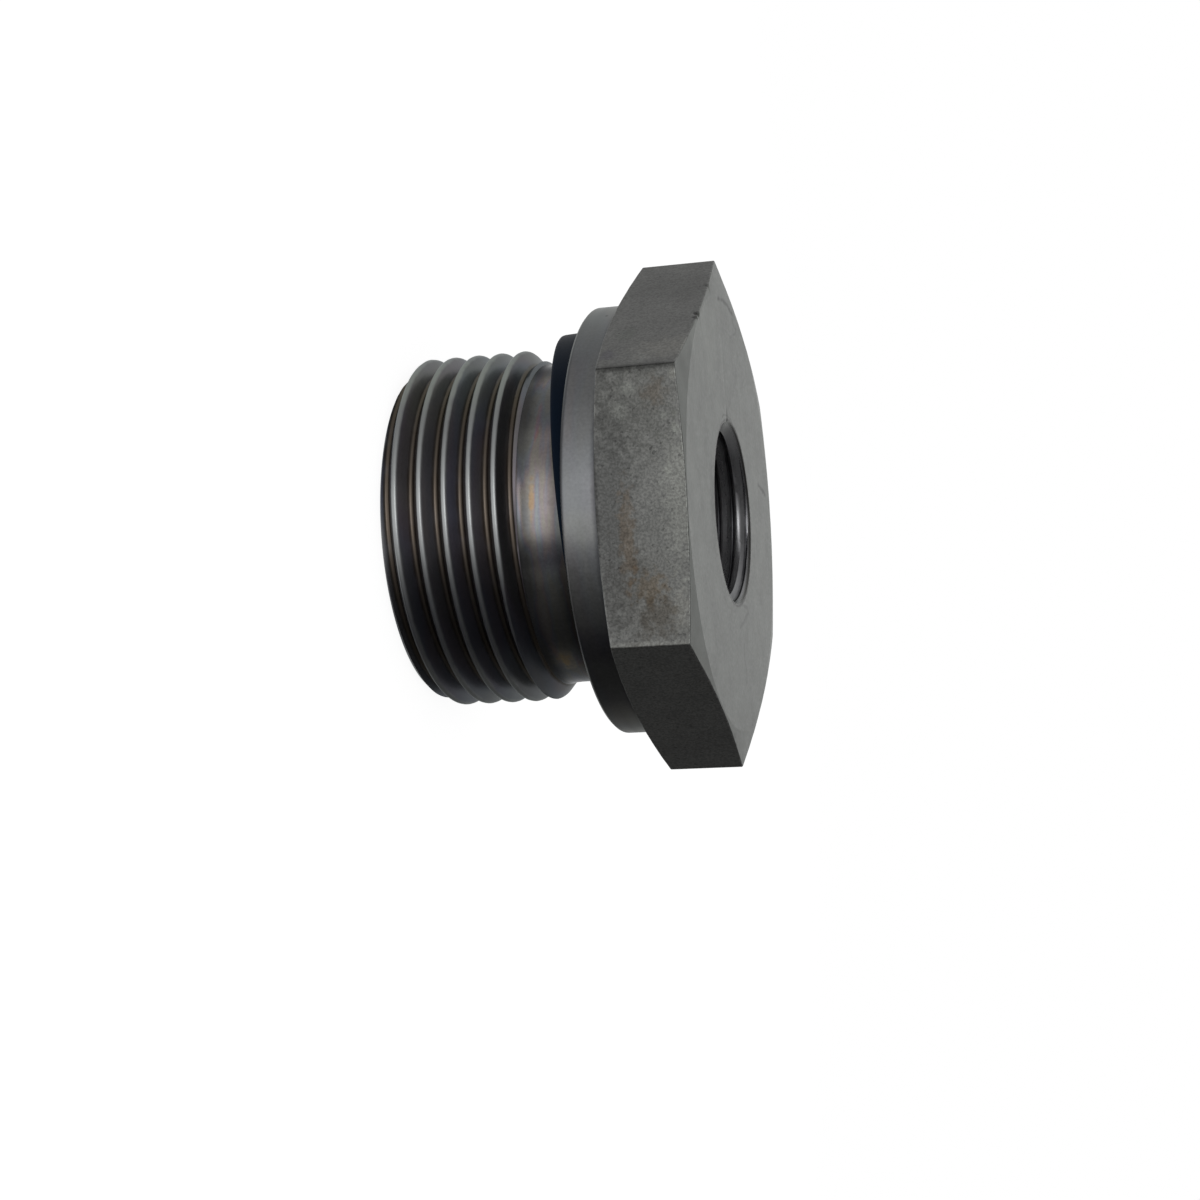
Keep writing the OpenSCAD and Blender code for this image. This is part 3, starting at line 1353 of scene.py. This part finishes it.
    def bore_rings(self) -> list[Ring]:
        """Lay the rings from the tapped end of the port down the bore to the stud's end.

        Returns:
            The rings in order.
        """
        floor = self.top - self.port_depth
        tip = (self.port_r - self.flow_r) / math.tan(math.radians(self.drill_angle / 2))
        rings = self.line.rings([
            Corner(self.port_r, self.tapped_z, zone=Zone.PORT),
            Corner(self.port_r, floor, self.floor_soft, Zone.PORT),
            Corner(self.flow_r, floor - tip, self.fair_soft, Zone.PORT),
            Corner(self.flow_r, self.flow_bevel, self.fine_soft, Zone.PORT),
            Corner(self.flow_r + self.flow_bevel, 0.0, self.fine_soft),
            Corner(self.end_r, 0.0, self.fair_soft),
            Corner(self.end_r + self.end_step, self.end_step),
        ])
        for ring in rings:
            if np.min(ring.radius) > self.stud.minor - self.stud_margin:
                ring.marks = (Mark.STUD_THREAD,)
        return rings

    def runout(self, height: np.ndarray) -> np.ndarray:
        """Work out the run-out cone, which a fillet joins to the neck.

        Args:
            height: the height at each column, in mm.

        Returns:
            The radius at each column, in mm.
        """
        slope = (self.stud.major - self.neck_r) / self.runout_len
        over = (self.relief_z - height) * slope
        return self.neck_r + (over + np.sqrt(over**2 + 4 * self.neck_fillet**2)) / 2

    def stud_rings(self) -> list[Ring]:
        """Lay the rows of the male thread's blank and, past them, the fillet to the neck.

        Returns:
            The rings in order.
        """
        rings = []
        for height in self.stud.heights(self.end_step, self.relief_z, self.angles):
            turned = np.minimum(self.end_r + height, self.stud.major)
            radius = np.minimum(turned, self.runout(height))
            rings.append(Ring(radius, height, 0.0, Zone.STUD_THREAD, (Mark.STUD_THREAD,)))
        rings[-1].zone = Zone.NECK
        for past in self.fillet_rows:
            height = self.relief_z + past + 0 * self.angles
            rings.append(Ring(self.runout(height), height, 0.0, Zone.NECK))
        return rings

    def collar_and_hexagon_rings(self) -> list[Ring]:
        """Lay the rings from the neck over the collar and the hexagon to the port's mouth.

        Returns:
            The rings in order.
        """
        groove_r = self.neck_r + self.groove_w
        collar_r = groove_r + self.seat_w
        reach, soft = self.flats(), self.uneven_soft()
        past_flats = np.maximum(reach - self.half_flats, 0)
        back_z = self.hex_z + past_flats * math.tan(math.radians(self.back_angle))
        front_z = self.top - (reach - self.face_r) * math.tan(math.radians(self.port_angle))
        groove_z = self.collar_z + self.groove_depth
        within = reach - 3 * soft
        return self.line.rings([
            Corner(self.neck_r, self.relief_z + self.neck_from, zone=Zone.NECK),
            Corner(self.neck_r, groove_z, self.neck_soft),
            Corner(groove_r, groove_z, self.groove_soft),
            Corner(groove_r, self.collar_z, self.fine_soft),
            Corner(collar_r - self.collar_bevel, self.collar_z, self.fine_soft),
            Corner(collar_r, self.collar_z + self.collar_bevel, self.fair_soft),
            Corner(collar_r, self.hex_z, self.foot_soft),
            Corner(np.minimum(self.half_flats, within), self.hex_z, self.fine_soft),
            Corner(reach, back_z, soft, Zone.FLAT),
            Corner(reach, back_z + self.flat_foot, zone=Zone.FLAT),
            *(Corner(reach, front_z - row, zone=Zone.FLAT) for row in self.flat_rows),
            Corner(reach, front_z, soft, Zone.FACE),
            Corner(np.minimum(self.face_r, within), self.top, self.face_soft, Zone.FACE, 0.0),
            Corner(self.face_r - self.face_hold, self.top, zone=Zone.FACE),
            Corner(self.mouth_r + self.face_hold, self.top, zone=Zone.FACE),
            Corner(self.mouth_r, self.top, self.mouth_soft, Zone.PORT),
            Corner(self.mouth_r - self.mouth_step, self.top - self.mouth_step, zone=Zone.PORT),
        ])

    def port_rings(self) -> list[Ring]:
        """Lay the rows of the female thread's blank, from the mouth inwards.

        Returns:
            The rings in order.
        """
        rings = []
        heights = self.port.heights(self.tapped_z, self.top - self.mouth_step, self.angles)
        for height in reversed(heights):
            radius = np.maximum(self.port_r, self.mouth_r - (self.top - height))
            rings.append(Ring(radius, height, 0.0, Zone.PORT, (Mark.PORT_THREAD,)))
        return rings

    def build(self, rule: ThreadRule, finishes: dict[Zone, Material]) -> Object:
        """Make the body's mesh, cut its threads and dress it.

        Args:
            rule: the tree that cuts a thread.
            finishes: the material of each zone.

        Returns:
            The finished piece.
        """
        rings = [*self.bore_rings(), *self.stud_rings()]
        rings += [*self.collar_and_hexagon_rings(), *self.port_rings()]
        dents = (
            Dent((-17.15, -11.25, 29.1), 0.42, (0.20, 0.12, -0.14)),
            Dent((-16.70, -12.05, 29.1), 0.36, (0.12, 0.07, -0.08)),
            Dent((-20.4, -5.6, 29.0), 0.4, (0.08, 0.05, -0.06)),
            Dent((-8.55, -0.65, 29.2), 0.5, (0.10, 0.02, -0.10)),
        )
        mesh = skin_mesh("skin", rings, self.angles, dents, self.corner_edge())
        for zone in Zone:
            mesh.materials.append(finishes[zone])
        blank = link_object("skin", mesh)
        rule.cut(blank, self.stud, finishes[Zone.STUD_THREAD])
        rule.cut(blank, self.port, finishes[Zone.PORT])
        return plain_copy(blank, "steel_body", self.sharp_angle)


@dataclass
class SealRing:
    """The soft profile ring, slipped askew on the neck. Lengths in mm, angles in degrees."""

    thickness: float = 2.0
    side_gap: float = 0.4
    clear: float = 0.08
    floor_gap: float = 0.05
    tilt: float = 6.7
    seated_at: float = -54.5
    outer_soft: float = 0.3
    inner_soft: float = 0.15
    sharp_angle: float = 50.0
    column_count: int = 240

    def build(self, steel: SteelBody, finish: Material) -> Object:
        """Make the ring where it sits on the steel.

        Args:
            steel: the body that carries it.
            finish: the rubber.

        Returns:
            The finished piece.
        """
        angles = np.linspace(0, 360, self.column_count + 1)
        tilt = math.radians(self.tilt)
        half = self.thickness / 2
        outer = steel.neck_r + steel.groove_w - self.side_gap
        inner = (steel.neck_r + self.clear + half * math.sin(tilt)) / math.cos(tilt)
        middle = (outer + inner) / 2
        rings = SectionLine(len(angles)).rings([
            Corner(middle, -half),
            Corner(outer, -half, self.outer_soft),
            Corner(outer, half, self.outer_soft),
            Corner(inner, half, self.inner_soft),
            Corner(inner, -half, self.inner_soft),
            Corner(middle, -half),
        ])
        mesh = skin_mesh("seal skin", rings, angles)
        mesh.materials.clear()
        mesh.materials.append(finish)
        mesh.polygons.foreach_set("material_index", np.zeros(len(mesh.polygons), np.int32))
        groove_floor = steel.collar_z + steel.groove_depth
        lift = groove_floor - self.floor_gap - outer * math.sin(tilt) - half * math.cos(tilt)
        heading = Matrix.Rotation(math.radians(self.seated_at), 4, "Z")
        turn = heading @ Matrix.Rotation(-tilt, 4, "Y")
        mesh.transform(Matrix.Translation((0, 0, lift * MM)) @ turn)
        blank = link_object("seal skin", mesh)
        blank.modifiers.new("weld", "WELD").merge_threshold = WELD
        return plain_copy(blank, "seal", self.sharp_angle)


@dataclass(frozen=True)
class Lamp:
    """A soft square lamp that looks at the object. Metres, degrees and watts."""

    name: str
    azimuth: float
    elevation: float
    distance: float
    width: float
    power: float
    aim_height: float = 0.015

    def hang(self) -> None:
        """Hang the lamp where its angles and its distance put it."""
        light = bpy.data.lights.new(self.name, "AREA")
        light.size = self.width
        light.energy = self.power
        lamp = bpy.data.objects.new(self.name, light)
        across = math.radians(self.azimuth)
        rise = math.radians(self.elevation)
        level = math.cos(rise)
        away = Vector((math.cos(across) * level, math.sin(across) * level, math.sin(rise)))
        lamp.location = Vector((0, 0, self.aim_height)) + away * self.distance
        lamp.rotation_euler = away.to_track_quat("Z", "Y").to_euler()
        bpy.context.scene.collection.objects.link(lamp)


@dataclass(frozen=True)
class Studio:
    """Floor, dome of grey cards, lamp, world and camera. Lengths in metres, angles in degrees."""

    floor_half: float = 12.0
    floor_far: float = 0.25
    floor_near: float = 0.06
    floor_dim: float = 0.70
    floor_lift: float = 0.89
    floor_white: float = 0.9
    world_light: float = 0.6
    dome_radius: float = 0.7
    dome_columns: int = 145
    eye: tuple[float, float, float] = (0.010165, -0.190702, 0.064915)
    aim: tuple[float, float, float] = (0.007357, 0.000108, 0.015900)
    roll: float = 86.61
    lens: float = 62.42
    sensor: float = 36.0
    clip: tuple[float, float] = (0.01, 100.0)
    lamp: Lamp = Lamp("key", azimuth=-105.0, elevation=18.0, distance=0.55, width=0.25, power=0.35)
    wall_tones: tuple[tuple[float, float], ...] = (
        (-180.0, 0.46),
        (-160.0, 0.43),
        (-135.0, 0.72),
        (-112.0, 1.15),
        (-97.0, 1.28),
        (-86.0, 1.10),
        (-78.0, 0.75),
        (-70.0, 0.36),
        (-60.0, 0.20),
        (-48.0, 0.12),
        (-30.0, 0.065),
        (-15.0, 0.035),
        (5.0, 0.035),
        (26.0, 0.075),
        (41.0, 0.13),
        (56.0, 0.25),
        (75.0, 0.62),
        (90.0, 0.94),
        (105.0, 0.88),
        (120.0, 0.71),
        (150.0, 0.58),
        (180.0, 0.46),
    )
    dome_falls: tuple[tuple[float, float], ...] = (
        (-72.0, 1.0),
        (-40.0, 1.0),
        (-12.0, 1.0),
        (20.0, 1.0),
        (34.0, 0.80),
        (46.0, 0.55),
        (58.0, 0.38),
        (70.0, 0.26),
        (89.0, 0.16),
    )

    @staticmethod
    def stage(mesh: Mesh, material: Material) -> Object:
        """Put a mesh into the scene as something that isn't part of the object.

        Args:
            mesh: the mesh.
            material: its one material.

        Returns:
            The new object.
        """
        mesh.materials.append(material)
        card = link_object(mesh.name, mesh)
        return card

    def floor(self) -> None:
        """Lay a white floor that still takes the object's shadow."""
        half = self.floor_half
        mesh = bpy.data.meshes.new("floor")
        corners = [(-half, -half, 0), (half, -half, 0), (half, half, 0), (-half, half, 0)]
        mesh.from_pydata(corners, [], [(0, 1, 2, 3)])
        material, graph = bare_material("white floor")
        place = graph.add("ShaderNodeTexCoord").outputs["Object"]
        near = graph.ease(graph.vector("LENGTH", place), self.floor_far, self.floor_near)
        seen = graph.add("ShaderNodeLightPath").outputs["Is Camera Ray"]
        dim = graph.span(near, 1.0, self.floor_dim)
        grey = graph.math("SUBTRACT", 1.0, graph.math("MULTIPLY", seen, dim))
        pale = graph.mix(grey, (0, 0, 0, 1), (*[self.floor_white] * 3, 1))
        diffuse = graph.add("ShaderNodeBsdfDiffuse", {"Color": pale})
        lift = graph.math("MULTIPLY", seen, graph.span(near, 1.0, self.floor_lift))
        white = graph.add("ShaderNodeEmission", {"Strength": lift})
        both = graph.add("ShaderNodeAddShader", {0: diffuse.outputs[0], 1: white.outputs[0]})
        graph.put(graph.tree.nodes["Material Output"].inputs["Surface"], both.outputs[0])
        card = self.stage(mesh, material)
        card.visible_glossy = False
        card.visible_diffuse = False

    def dome(self) -> None:
        """Stand a dome of grey cards about the object, which only its gloss shows."""
        degrees, tones = zip(*self.wall_tones)
        rises, falls = (np.array(column) for column in zip(*self.dome_falls))
        around = np.linspace(-180, 180, self.dome_columns)
        shade = np.outer(falls, np.interp(around, degrees, tones))
        turn = np.radians(around)[None, :]
        rise = np.radians(rises)[:, None]
        level = np.cos(rise)
        up = np.sin(rise) + 0 * turn
        points = np.stack([level * np.cos(turn), level * np.sin(turn), up], axis=-1)
        index = np.arange(shade.size).reshape(shade.shape)
        lower, upper = index[:-1], index[1:]
        quads = np.stack([lower[:, 1:], lower[:, :-1], upper[:, :-1], upper[:, 1:]], axis=-1)
        mesh = bpy.data.meshes.new("dome")
        points = points.reshape(-1, 3) * self.dome_radius
        mesh.from_pydata(points.tolist(), [], quads.reshape(-1, 4).tolist())
        layer_name = "tone"
        layer = mesh.attributes.new(layer_name, "FLOAT", "POINT")
        layer.data.foreach_set("value", shade.astype(np.float32).ravel())
        material, graph = bare_material("grey cards")
        glow = graph.add("ShaderNodeEmission", {"Strength": graph.mark(layer_name)}).outputs[0]
        graph.put(graph.tree.nodes["Material Output"].inputs["Surface"], glow)
        card = self.stage(mesh, material)
        card.visible_camera = False
        card.visible_diffuse = False
        card.visible_shadow = False
        card.visible_transmission = False

    def world(self) -> None:
        """Make the surroundings white where they are seen, and softly grey as light."""
        world = bpy.data.worlds.new("studio")
        world.use_nodes = True
        graph = Graph(world.node_tree)
        rays = graph.add("ShaderNodeLightPath").outputs
        seen = graph.math("MAXIMUM", rays["Is Camera Ray"], rays["Is Glossy Ray"])
        seen = graph.math("MAXIMUM", seen, rays["Is Transmission Ray"])
        ground = world.node_tree.nodes["Background"]
        graph.put(ground.inputs["Color"], (1.0, 1.0, 1.0, 1.0))
        graph.put(ground.inputs["Strength"], graph.span(seen, self.world_light, 1.0))
        bpy.context.scene.world = world

    def camera(self) -> None:
        """Stand the camera where the photograph was taken from, rolled as it was."""
        eye, aim = Vector(self.eye), Vector(self.aim)
        ahead = (aim - eye).normalized()
        level = ahead.cross(Vector((0, 0, 1))).normalized()
        upright = level.cross(ahead)
        roll = math.radians(self.roll)
        right = level * math.cos(roll) + upright * math.sin(roll)
        up = upright * math.cos(roll) - level * math.sin(roll)
        data = bpy.data.cameras.new("camera")
        data.lens = self.lens
        data.sensor_width = self.sensor
        data.clip_start, data.clip_end = self.clip
        camera = bpy.data.objects.new("camera", data)
        camera.matrix_world = Matrix((right, up, -ahead)).transposed().to_4x4()
        camera.location = eye
        bpy.context.scene.collection.objects.link(camera)
        bpy.context.scene.camera = camera

    def build(self) -> None:
        """Set up everything round the object."""
        self.floor()
        self.dome()
        self.lamp.hang()
        self.world()
        self.camera()
        bpy.context.scene.view_settings.view_transform = "Standard"


def finishes() -> dict[Zone, Material]:
    """Build the finish of each zone of the steel.

    Returns:
        The material of each zone.
    """
    flat_spots = (
        # Broad patches on the middle flat: darker ones are painted shade, lighter ones painted light.
        Spot((0.0, -20.5, 22.3), (16.0, 1.2, 3.6), (0.68, 0.68, 0.69), 0.5),
        Spot((-9.0, -20.5, 24.5), (6.5, 1.2, 6.0), (0.80, 0.80, 0.79), 0.6),
        Spot((-0.3, -20.5, 28.5), (8.0, 1.2, 2.0), (1.28, 1.29, 1.26), 0.6),
        Spot((9.2, -20.5, 26.2), (2.8, 1.2, 2.3), (0.70, 0.66, 0.62), 0.6),
        Spot((7.0, -20.5, 24.2), (5.5, 1.2, 3.6), (0.84, 0.83, 0.82), 0.6),
        Spot((8.9, -20.5, 28.2), (3.0, 1.2, 1.1), (1.24, 1.23, 1.20), 0.5),
        # Pale spots in the drawn skin.
        Spot((-10.0, -20.5, 24.6), (0.9, 1.2, 0.9), (1.32, 1.34, 1.32)),
        Spot((-8.1, -20.5, 23.7), (1.2, 1.2, 1.1), (1.36, 1.38, 1.36)),
        Spot((-7.5, -20.5, 27.6), (0.5, 1.2, 0.5), (1.22, 1.24, 1.22)),
        Spot((-6.3, -20.5, 28.5), (0.7, 1.2, 0.6), (1.24, 1.26, 1.24)),
        Spot((-2.9, -20.5, 27.7), (0.8, 1.2, 0.5), (1.16, 1.17, 1.15)),
        # Brown stains.
        Spot((2.7, -20.5, 23.8), (5.5, 1.2, 1.0), (1.14, 0.99, 0.86), 0.8),
        Spot((6.8, -20.5, 25.6), (1.8, 1.2, 2.0), (1.02, 0.90, 0.78), 0.8),
        Spot((-9.6, -20.5, 26.9), (1.6, 1.2, 1.3), (0.98, 0.90, 0.84), 0.7),
        # Patches on the top flat: darker ones are painted shade, lighter ones painted light.
        Spot((-20.6, -5.2, 26.0), (3.6, 5.0, 6.0), (0.82, 0.82, 0.82)),
        Spot((-13.6, -17.4, 27.6), (3.2, 3.2, 4.0), (1.34, 1.32, 1.28), 0.5),
        Spot((-12.6, -19.0, 25.5), (1.3, 1.3, 1.0), (1.12, 1.13, 1.12), 0.5),
        Spot((-13.3, -18.0, 22.4), (1.3, 1.5, 1.0), (0.82, 0.80, 0.90), 0.5),
        Spot((-15.4, -14.3, 23.2), (1.6, 2.2, 1.6), (0.88, 0.91, 0.88), 0.5),
        # Painted shade along the hexagon's corner at 240 degrees: a soft band and a darker line.
        Spot((-11.78, -20.6, 25.2), (0.95, 0.95, 9.0), (0.82, 0.82, 0.82), 0.1),
        Spot((-11.83, -20.5, 25.2), (0.50, 0.50, 9.0), (0.48, 0.48, 0.48), 0.1),
        # Painted shade along the flats' back edge next to the collar.
        Spot((0.0, -20.6, 21.2), (60.0, 1.0, 0.38), (0.50, 0.50, 0.50), 0.2),
        # A pale spot.
        Spot((-10.9, -20.5, 28.5), (0.7, 0.8, 0.6), (1.30, 1.30, 1.26), 0.3),
        # Painted highlight along the hexagon's corner at 300 degrees.
        Spot((11.6, -20.6, 25.2), (0.42, 0.5, 9.0), (1.28, 1.28, 1.26), 0.1),
        # Painted shade in the two nicks at the face's edge.
        Spot((-17.3, -11.2, 29.0), (0.36, 0.36, 0.34), (0.12, 0.12, 0.12), 0.1),
        Spot((-16.7, -12.1, 29.0), (0.26, 0.26, 0.40), (0.16, 0.16, 0.16), 0.1),
    )
    face_spots = (
        # Painted shade on the face beside the port's mouth.
        Spot((0.0, -9.4, 29.2), (6.5, 2.0, 1.0), (0.74, 0.74, 0.74), 0.2),
        # Painted light: broad lighter patches of the face.
        Spot((0.0, -18.5, 29.2), (22.0, 5.5, 1.0), (1.07, 1.07, 1.07), 0.3),
        Spot((-16.0, -9.0, 29.2), (7.0, 9.0, 1.0), (1.16, 1.16, 1.15), 0.3),
        # A smudge.
        Spot((20.4, -4.9, 29.2), (0.35, 1.0, 1.0), (0.78, 0.78, 0.78), 0.2),
        # A lighter strip by the mouth's edge on the +X side.
        Spot((8.35, -0.3, 29.2), (0.35, 2.0, 0.5), (1.20, 1.18, 1.16), 0.2),
        # Painted shade in the nick at the face's edge.
        Spot((-17.2, -11.2, 29.2), (0.24, 0.24, 0.30), (0.15, 0.15, 0.15), 0.1),
    )
    scratches = (
        Scratch(((-19.8, -1.7), (-19.95, 0.3), (-19.8, 2.7), (-19.4, 4.1), (-19.2, 5.1)), 0.32, 0.32),
        Scratch(((-18.9, 4.9), (-18.2, 5.3), (-17.9, 6.7), (-17.5, 6.1), (-16.8, 3.3)), 0.24, 0.72),
        Scratch(((-15.5, 6.5), (-13.2, 5.3), (-12.0, 3.9), (-11.3, 6.2), (-9.4, 6.0)), 0.6, 0.84),
        Scratch(((-11.6, 3.3), (-9.4, -0.4)), 0.5, 0.86),
        Scratch(((8.6, 2.2), (9.0, 4.7), (9.4, 4.6), (10.2, 2.2), (10.7, 0.1)), 0.32, 0.66),
        Scratch(((12.3, 1.6), (13.8, 1.65), (15.2, 2.2), (15.9, 2.0)), 0.42, 0.72),
        Scratch(((-3.4, 14.1), (-2.6, 17.9)), 0.34, 0.30),
        Scratch(((7.9, -6.5), (8.7, -5.7), (9.2, -2.0)), 0.22, 0.84),
        # These two are no scratches: dark lines of painted shade round the burrs on the -X and +X sides
        # of the port's mouth.
        Scratch(((-8.5, -3.2), (-8.95, -2.4), (-9.05, -0.6), (-8.8, 1.4), (-8.5, 1.8)), 0.16, 0.55),
        Scratch(((8.2, -3.2), (8.6, -0.6), (8.45, 1.6), (8.0, 2.9)), 0.16, 0.60),
    )
    collar_spots = (
        # A small dark dot.
        Spot((-18.1, -8.5, 20.2), (0.25, 0.25, 0.2), (0.2, 0.2, 0.2), 0.0),
        # Painted shade on the collar where it meets the hexagon.
        Spot((0.0, -20.0, 21.35), (60.0, 60.0, 0.75), (0.50, 0.50, 0.52), 0.1),
        # Painted shade on the collar's lower bevel, which dims its highlight.
        Spot((-10.0, -17.0, 18.1), (22.0, 22.0, 0.36), (0.55, 0.55, 0.57), 0.0),
        # Painted light and painted shade in patches on the collar's lit side.
        Spot((1.6, -20.0, 19.6), (2.4, 1.5, 4.0), (1.16, 1.15, 1.10), 0.1),
        Spot((11.6, -16.4, 19.6), (2.6, 3.0, 4.0), (0.70, 0.68, 0.74), 0.1),
        Spot((17.9, -8.9, 19.6), (2.4, 4.0, 4.0), (1.30, 1.27, 1.22), 0.1),
    )
    port_painted_shade = (
        # All three are painted shade: on the mouth's rounding, dimming its highlight, and on the
        # countersink's -X and +X ends.
        Spot((0.0, 0.0, 29.2), (60.0, 60.0, 0.26), (0.30, 0.29, 0.28), 0.0),
        Spot((-8.3, 0.5, 28.7), (3.4, 5.5, 1.6), (0.50, 0.49, 0.49), 0.0),
        Spot((8.3, 0.5, 28.4), (3.2, 4.5, 2.0), (0.58, 0.58, 0.60), 0.0),
    )
    neck_spots = (
        # Painted shade on the neck: darker by the run-out, and a painted shadow of the seal and the
        # collar by the collar.
        Spot((0.0, -15.0, 12.6), (50.0, 50.0, 1.7), (0.42, 0.42, 0.43), 0.1),
        Spot((0.0, -15.0, 16.7), (50.0, 50.0, 1.6), (0.50, 0.50, 0.50), 0.1),
        # Painted shade in patches round the neck, and one patch of painted light on its +X side.
        Spot((-14.6, -3.6, 12.9), (4.2, 6.0, 6.0), (0.24, 0.24, 0.25), 0.0),
        Spot((9.4, -11.4, 12.9), (4.4, 4.4, 1.8), (1.60, 1.60, 1.75), 0.1),
        Spot((-10.0, -11.2, 13.9), (4.6, 4.0, 6.0), (0.66, 0.66, 0.68), 0.0),
        Spot((-5.4, -13.9, 14.0), (2.8, 2.0, 6.0), (0.80, 0.80, 0.80), 0.0),
        Spot((3.2, -14.6, 14.1), (2.1, 2.0, 6.0), (0.55, 0.55, 0.57), 0.0),
        # Oxide films: orange, bluish and reddish bands.
        Spot((-1.6, -14.9, 14.0), (2.8, 2.0, 0.35), (1.34, 1.06, 0.76), 0.5),
        Spot((0.6, -15.0, 14.8), (3.0, 2.0, 0.45), (1.00, 1.02, 1.05), 0.5),
        Spot((-8.4, -12.5, 14.25), (3.4, 3.0, 0.28), (1.16, 0.88, 0.92), 0.5),
        # An orange-brown stain.
        Spot((12.6, -8.0, 14.3), (2.8, 3.2, 1.5), (1.65, 1.52, 1.36), 0.4),
        Spot((12.75, -7.8, 14.3), (1.4, 1.6, 0.7), (1.25, 1.08, 0.82), 0.9),
    )
    stud_spots = (
        # Painted shade: the thread darker on its +X side.
        Spot((9.0, -14.0, 7.0), (8.0, 7.0, 16.0), (0.66, 0.66, 0.70), 0.0),
        # A slight olive tint on the -X side.
        Spot((-13.0, -9.5, 7.0), (6.0, 7.0, 16.0), (1.06, 1.10, 1.02), 0.3),
    )
    built = {
        Zone.TURNED: SteelFinish(
            title="turned collar",
            tone=(0.190, 0.194, 0.197),
            roughness=0.32,
            tint=0.10,
            tint_size=3.0,
            wear=0.05,
            spots=collar_spots,
        ),
        Zone.NECK: SteelFinish(
            title="polished neck",
            tone=(0.238, 0.237, 0.232),
            roughness=0.22,
            tint=0.45,
            tint_size=1.3,
            glare=(0.58, 0.59, 0.60),
            spots=neck_spots,
        ),
        Zone.FACE: FaceFinish(
            title="turned end face",
            tone=(0.154, 0.163, 0.151),
            roughness=0.40,
            patch=(2.6, 0.16),
            grain=(0.32, 0.26),
            marks=(0.10, 0.0006),
            band=0.02,
            pebble=0.004,
            ragged_edge=0.02,
            glare=(1.0, 1.0, 1.0),
            metal=0.96,
            wear=0.0,
            spots=face_spots,
            scratches=scratches,
        ),
        Zone.FLAT: FlatFinish(
            title="drawn flats",
            tone=(0.158, 0.160, 0.153),
            roughness=0.42,
            patch=(3.0, 0.11),
            grain=(0.19, 0.24),
            pebble=0.02,
            wear=0.80,
            worn=(0.25, 0.255, 0.245),
            ragged_edge=0.05,
            metal=0.88,
            glare=(0.9, 0.9, 0.9),
            spots=flat_spots,
        ),
        Zone.STUD_THREAD: ThreadFinish(
            title="stud thread",
            tone=(0.180, 0.180, 0.195),
            roughness=0.32,
            grain=(0.25, 0.05),
            pebble=0.002,
            tint=0.3,
            tint_size=4.0,
            metal=0.93,
            glare=(0.62, 0.65, 0.64),
            crest=(0.31, 0.32, 0.32),
            spots=stud_spots,
        ),
        # The port's roots are darkened and its edges near black: painted shade that dims the highlights
        # on the groove roots and on the mouth's rounding.
        Zone.PORT: ThreadFinish(
            title="port thread",
            tone=(0.30, 0.30, 0.31),
            roughness=0.30,
            pebble=0.002,
            wear=1.0,
            worn=(0.02, 0.02, 0.02),
            inward=True,
            root=(0.05, 0.05, 0.055),
            crest=(0.28, 0.28, 0.28),
            metal=0.87,
            spots=port_painted_shade,
        ),
    }
    return {zone: finish.material() for zone, finish in built.items()}


def carry(piece: Object, node: str) -> None:
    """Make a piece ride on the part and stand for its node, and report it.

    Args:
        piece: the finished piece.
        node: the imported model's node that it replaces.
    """
    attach(piece, BODY)
    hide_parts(node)
    corners = len(piece.data.vertices)
    LOG.info("%s stands for %s: %d points, %d faces", piece.name, node, corners, len(piece.data.polygons))


def main() -> None:
    """Build the studio and the two pieces."""
    logging.basicConfig(level=logging.INFO, format="%(name)s: %(message)s")
    Studio().build()
    rule = ThreadRule()
    steel = SteelBody()
    carry(steel.build(rule, finishes()), "nipple_body")
    carry(SealRing().build(steel, RubberFinish().material()), "seal_ring")


if __name__ == "__main__":
    main()
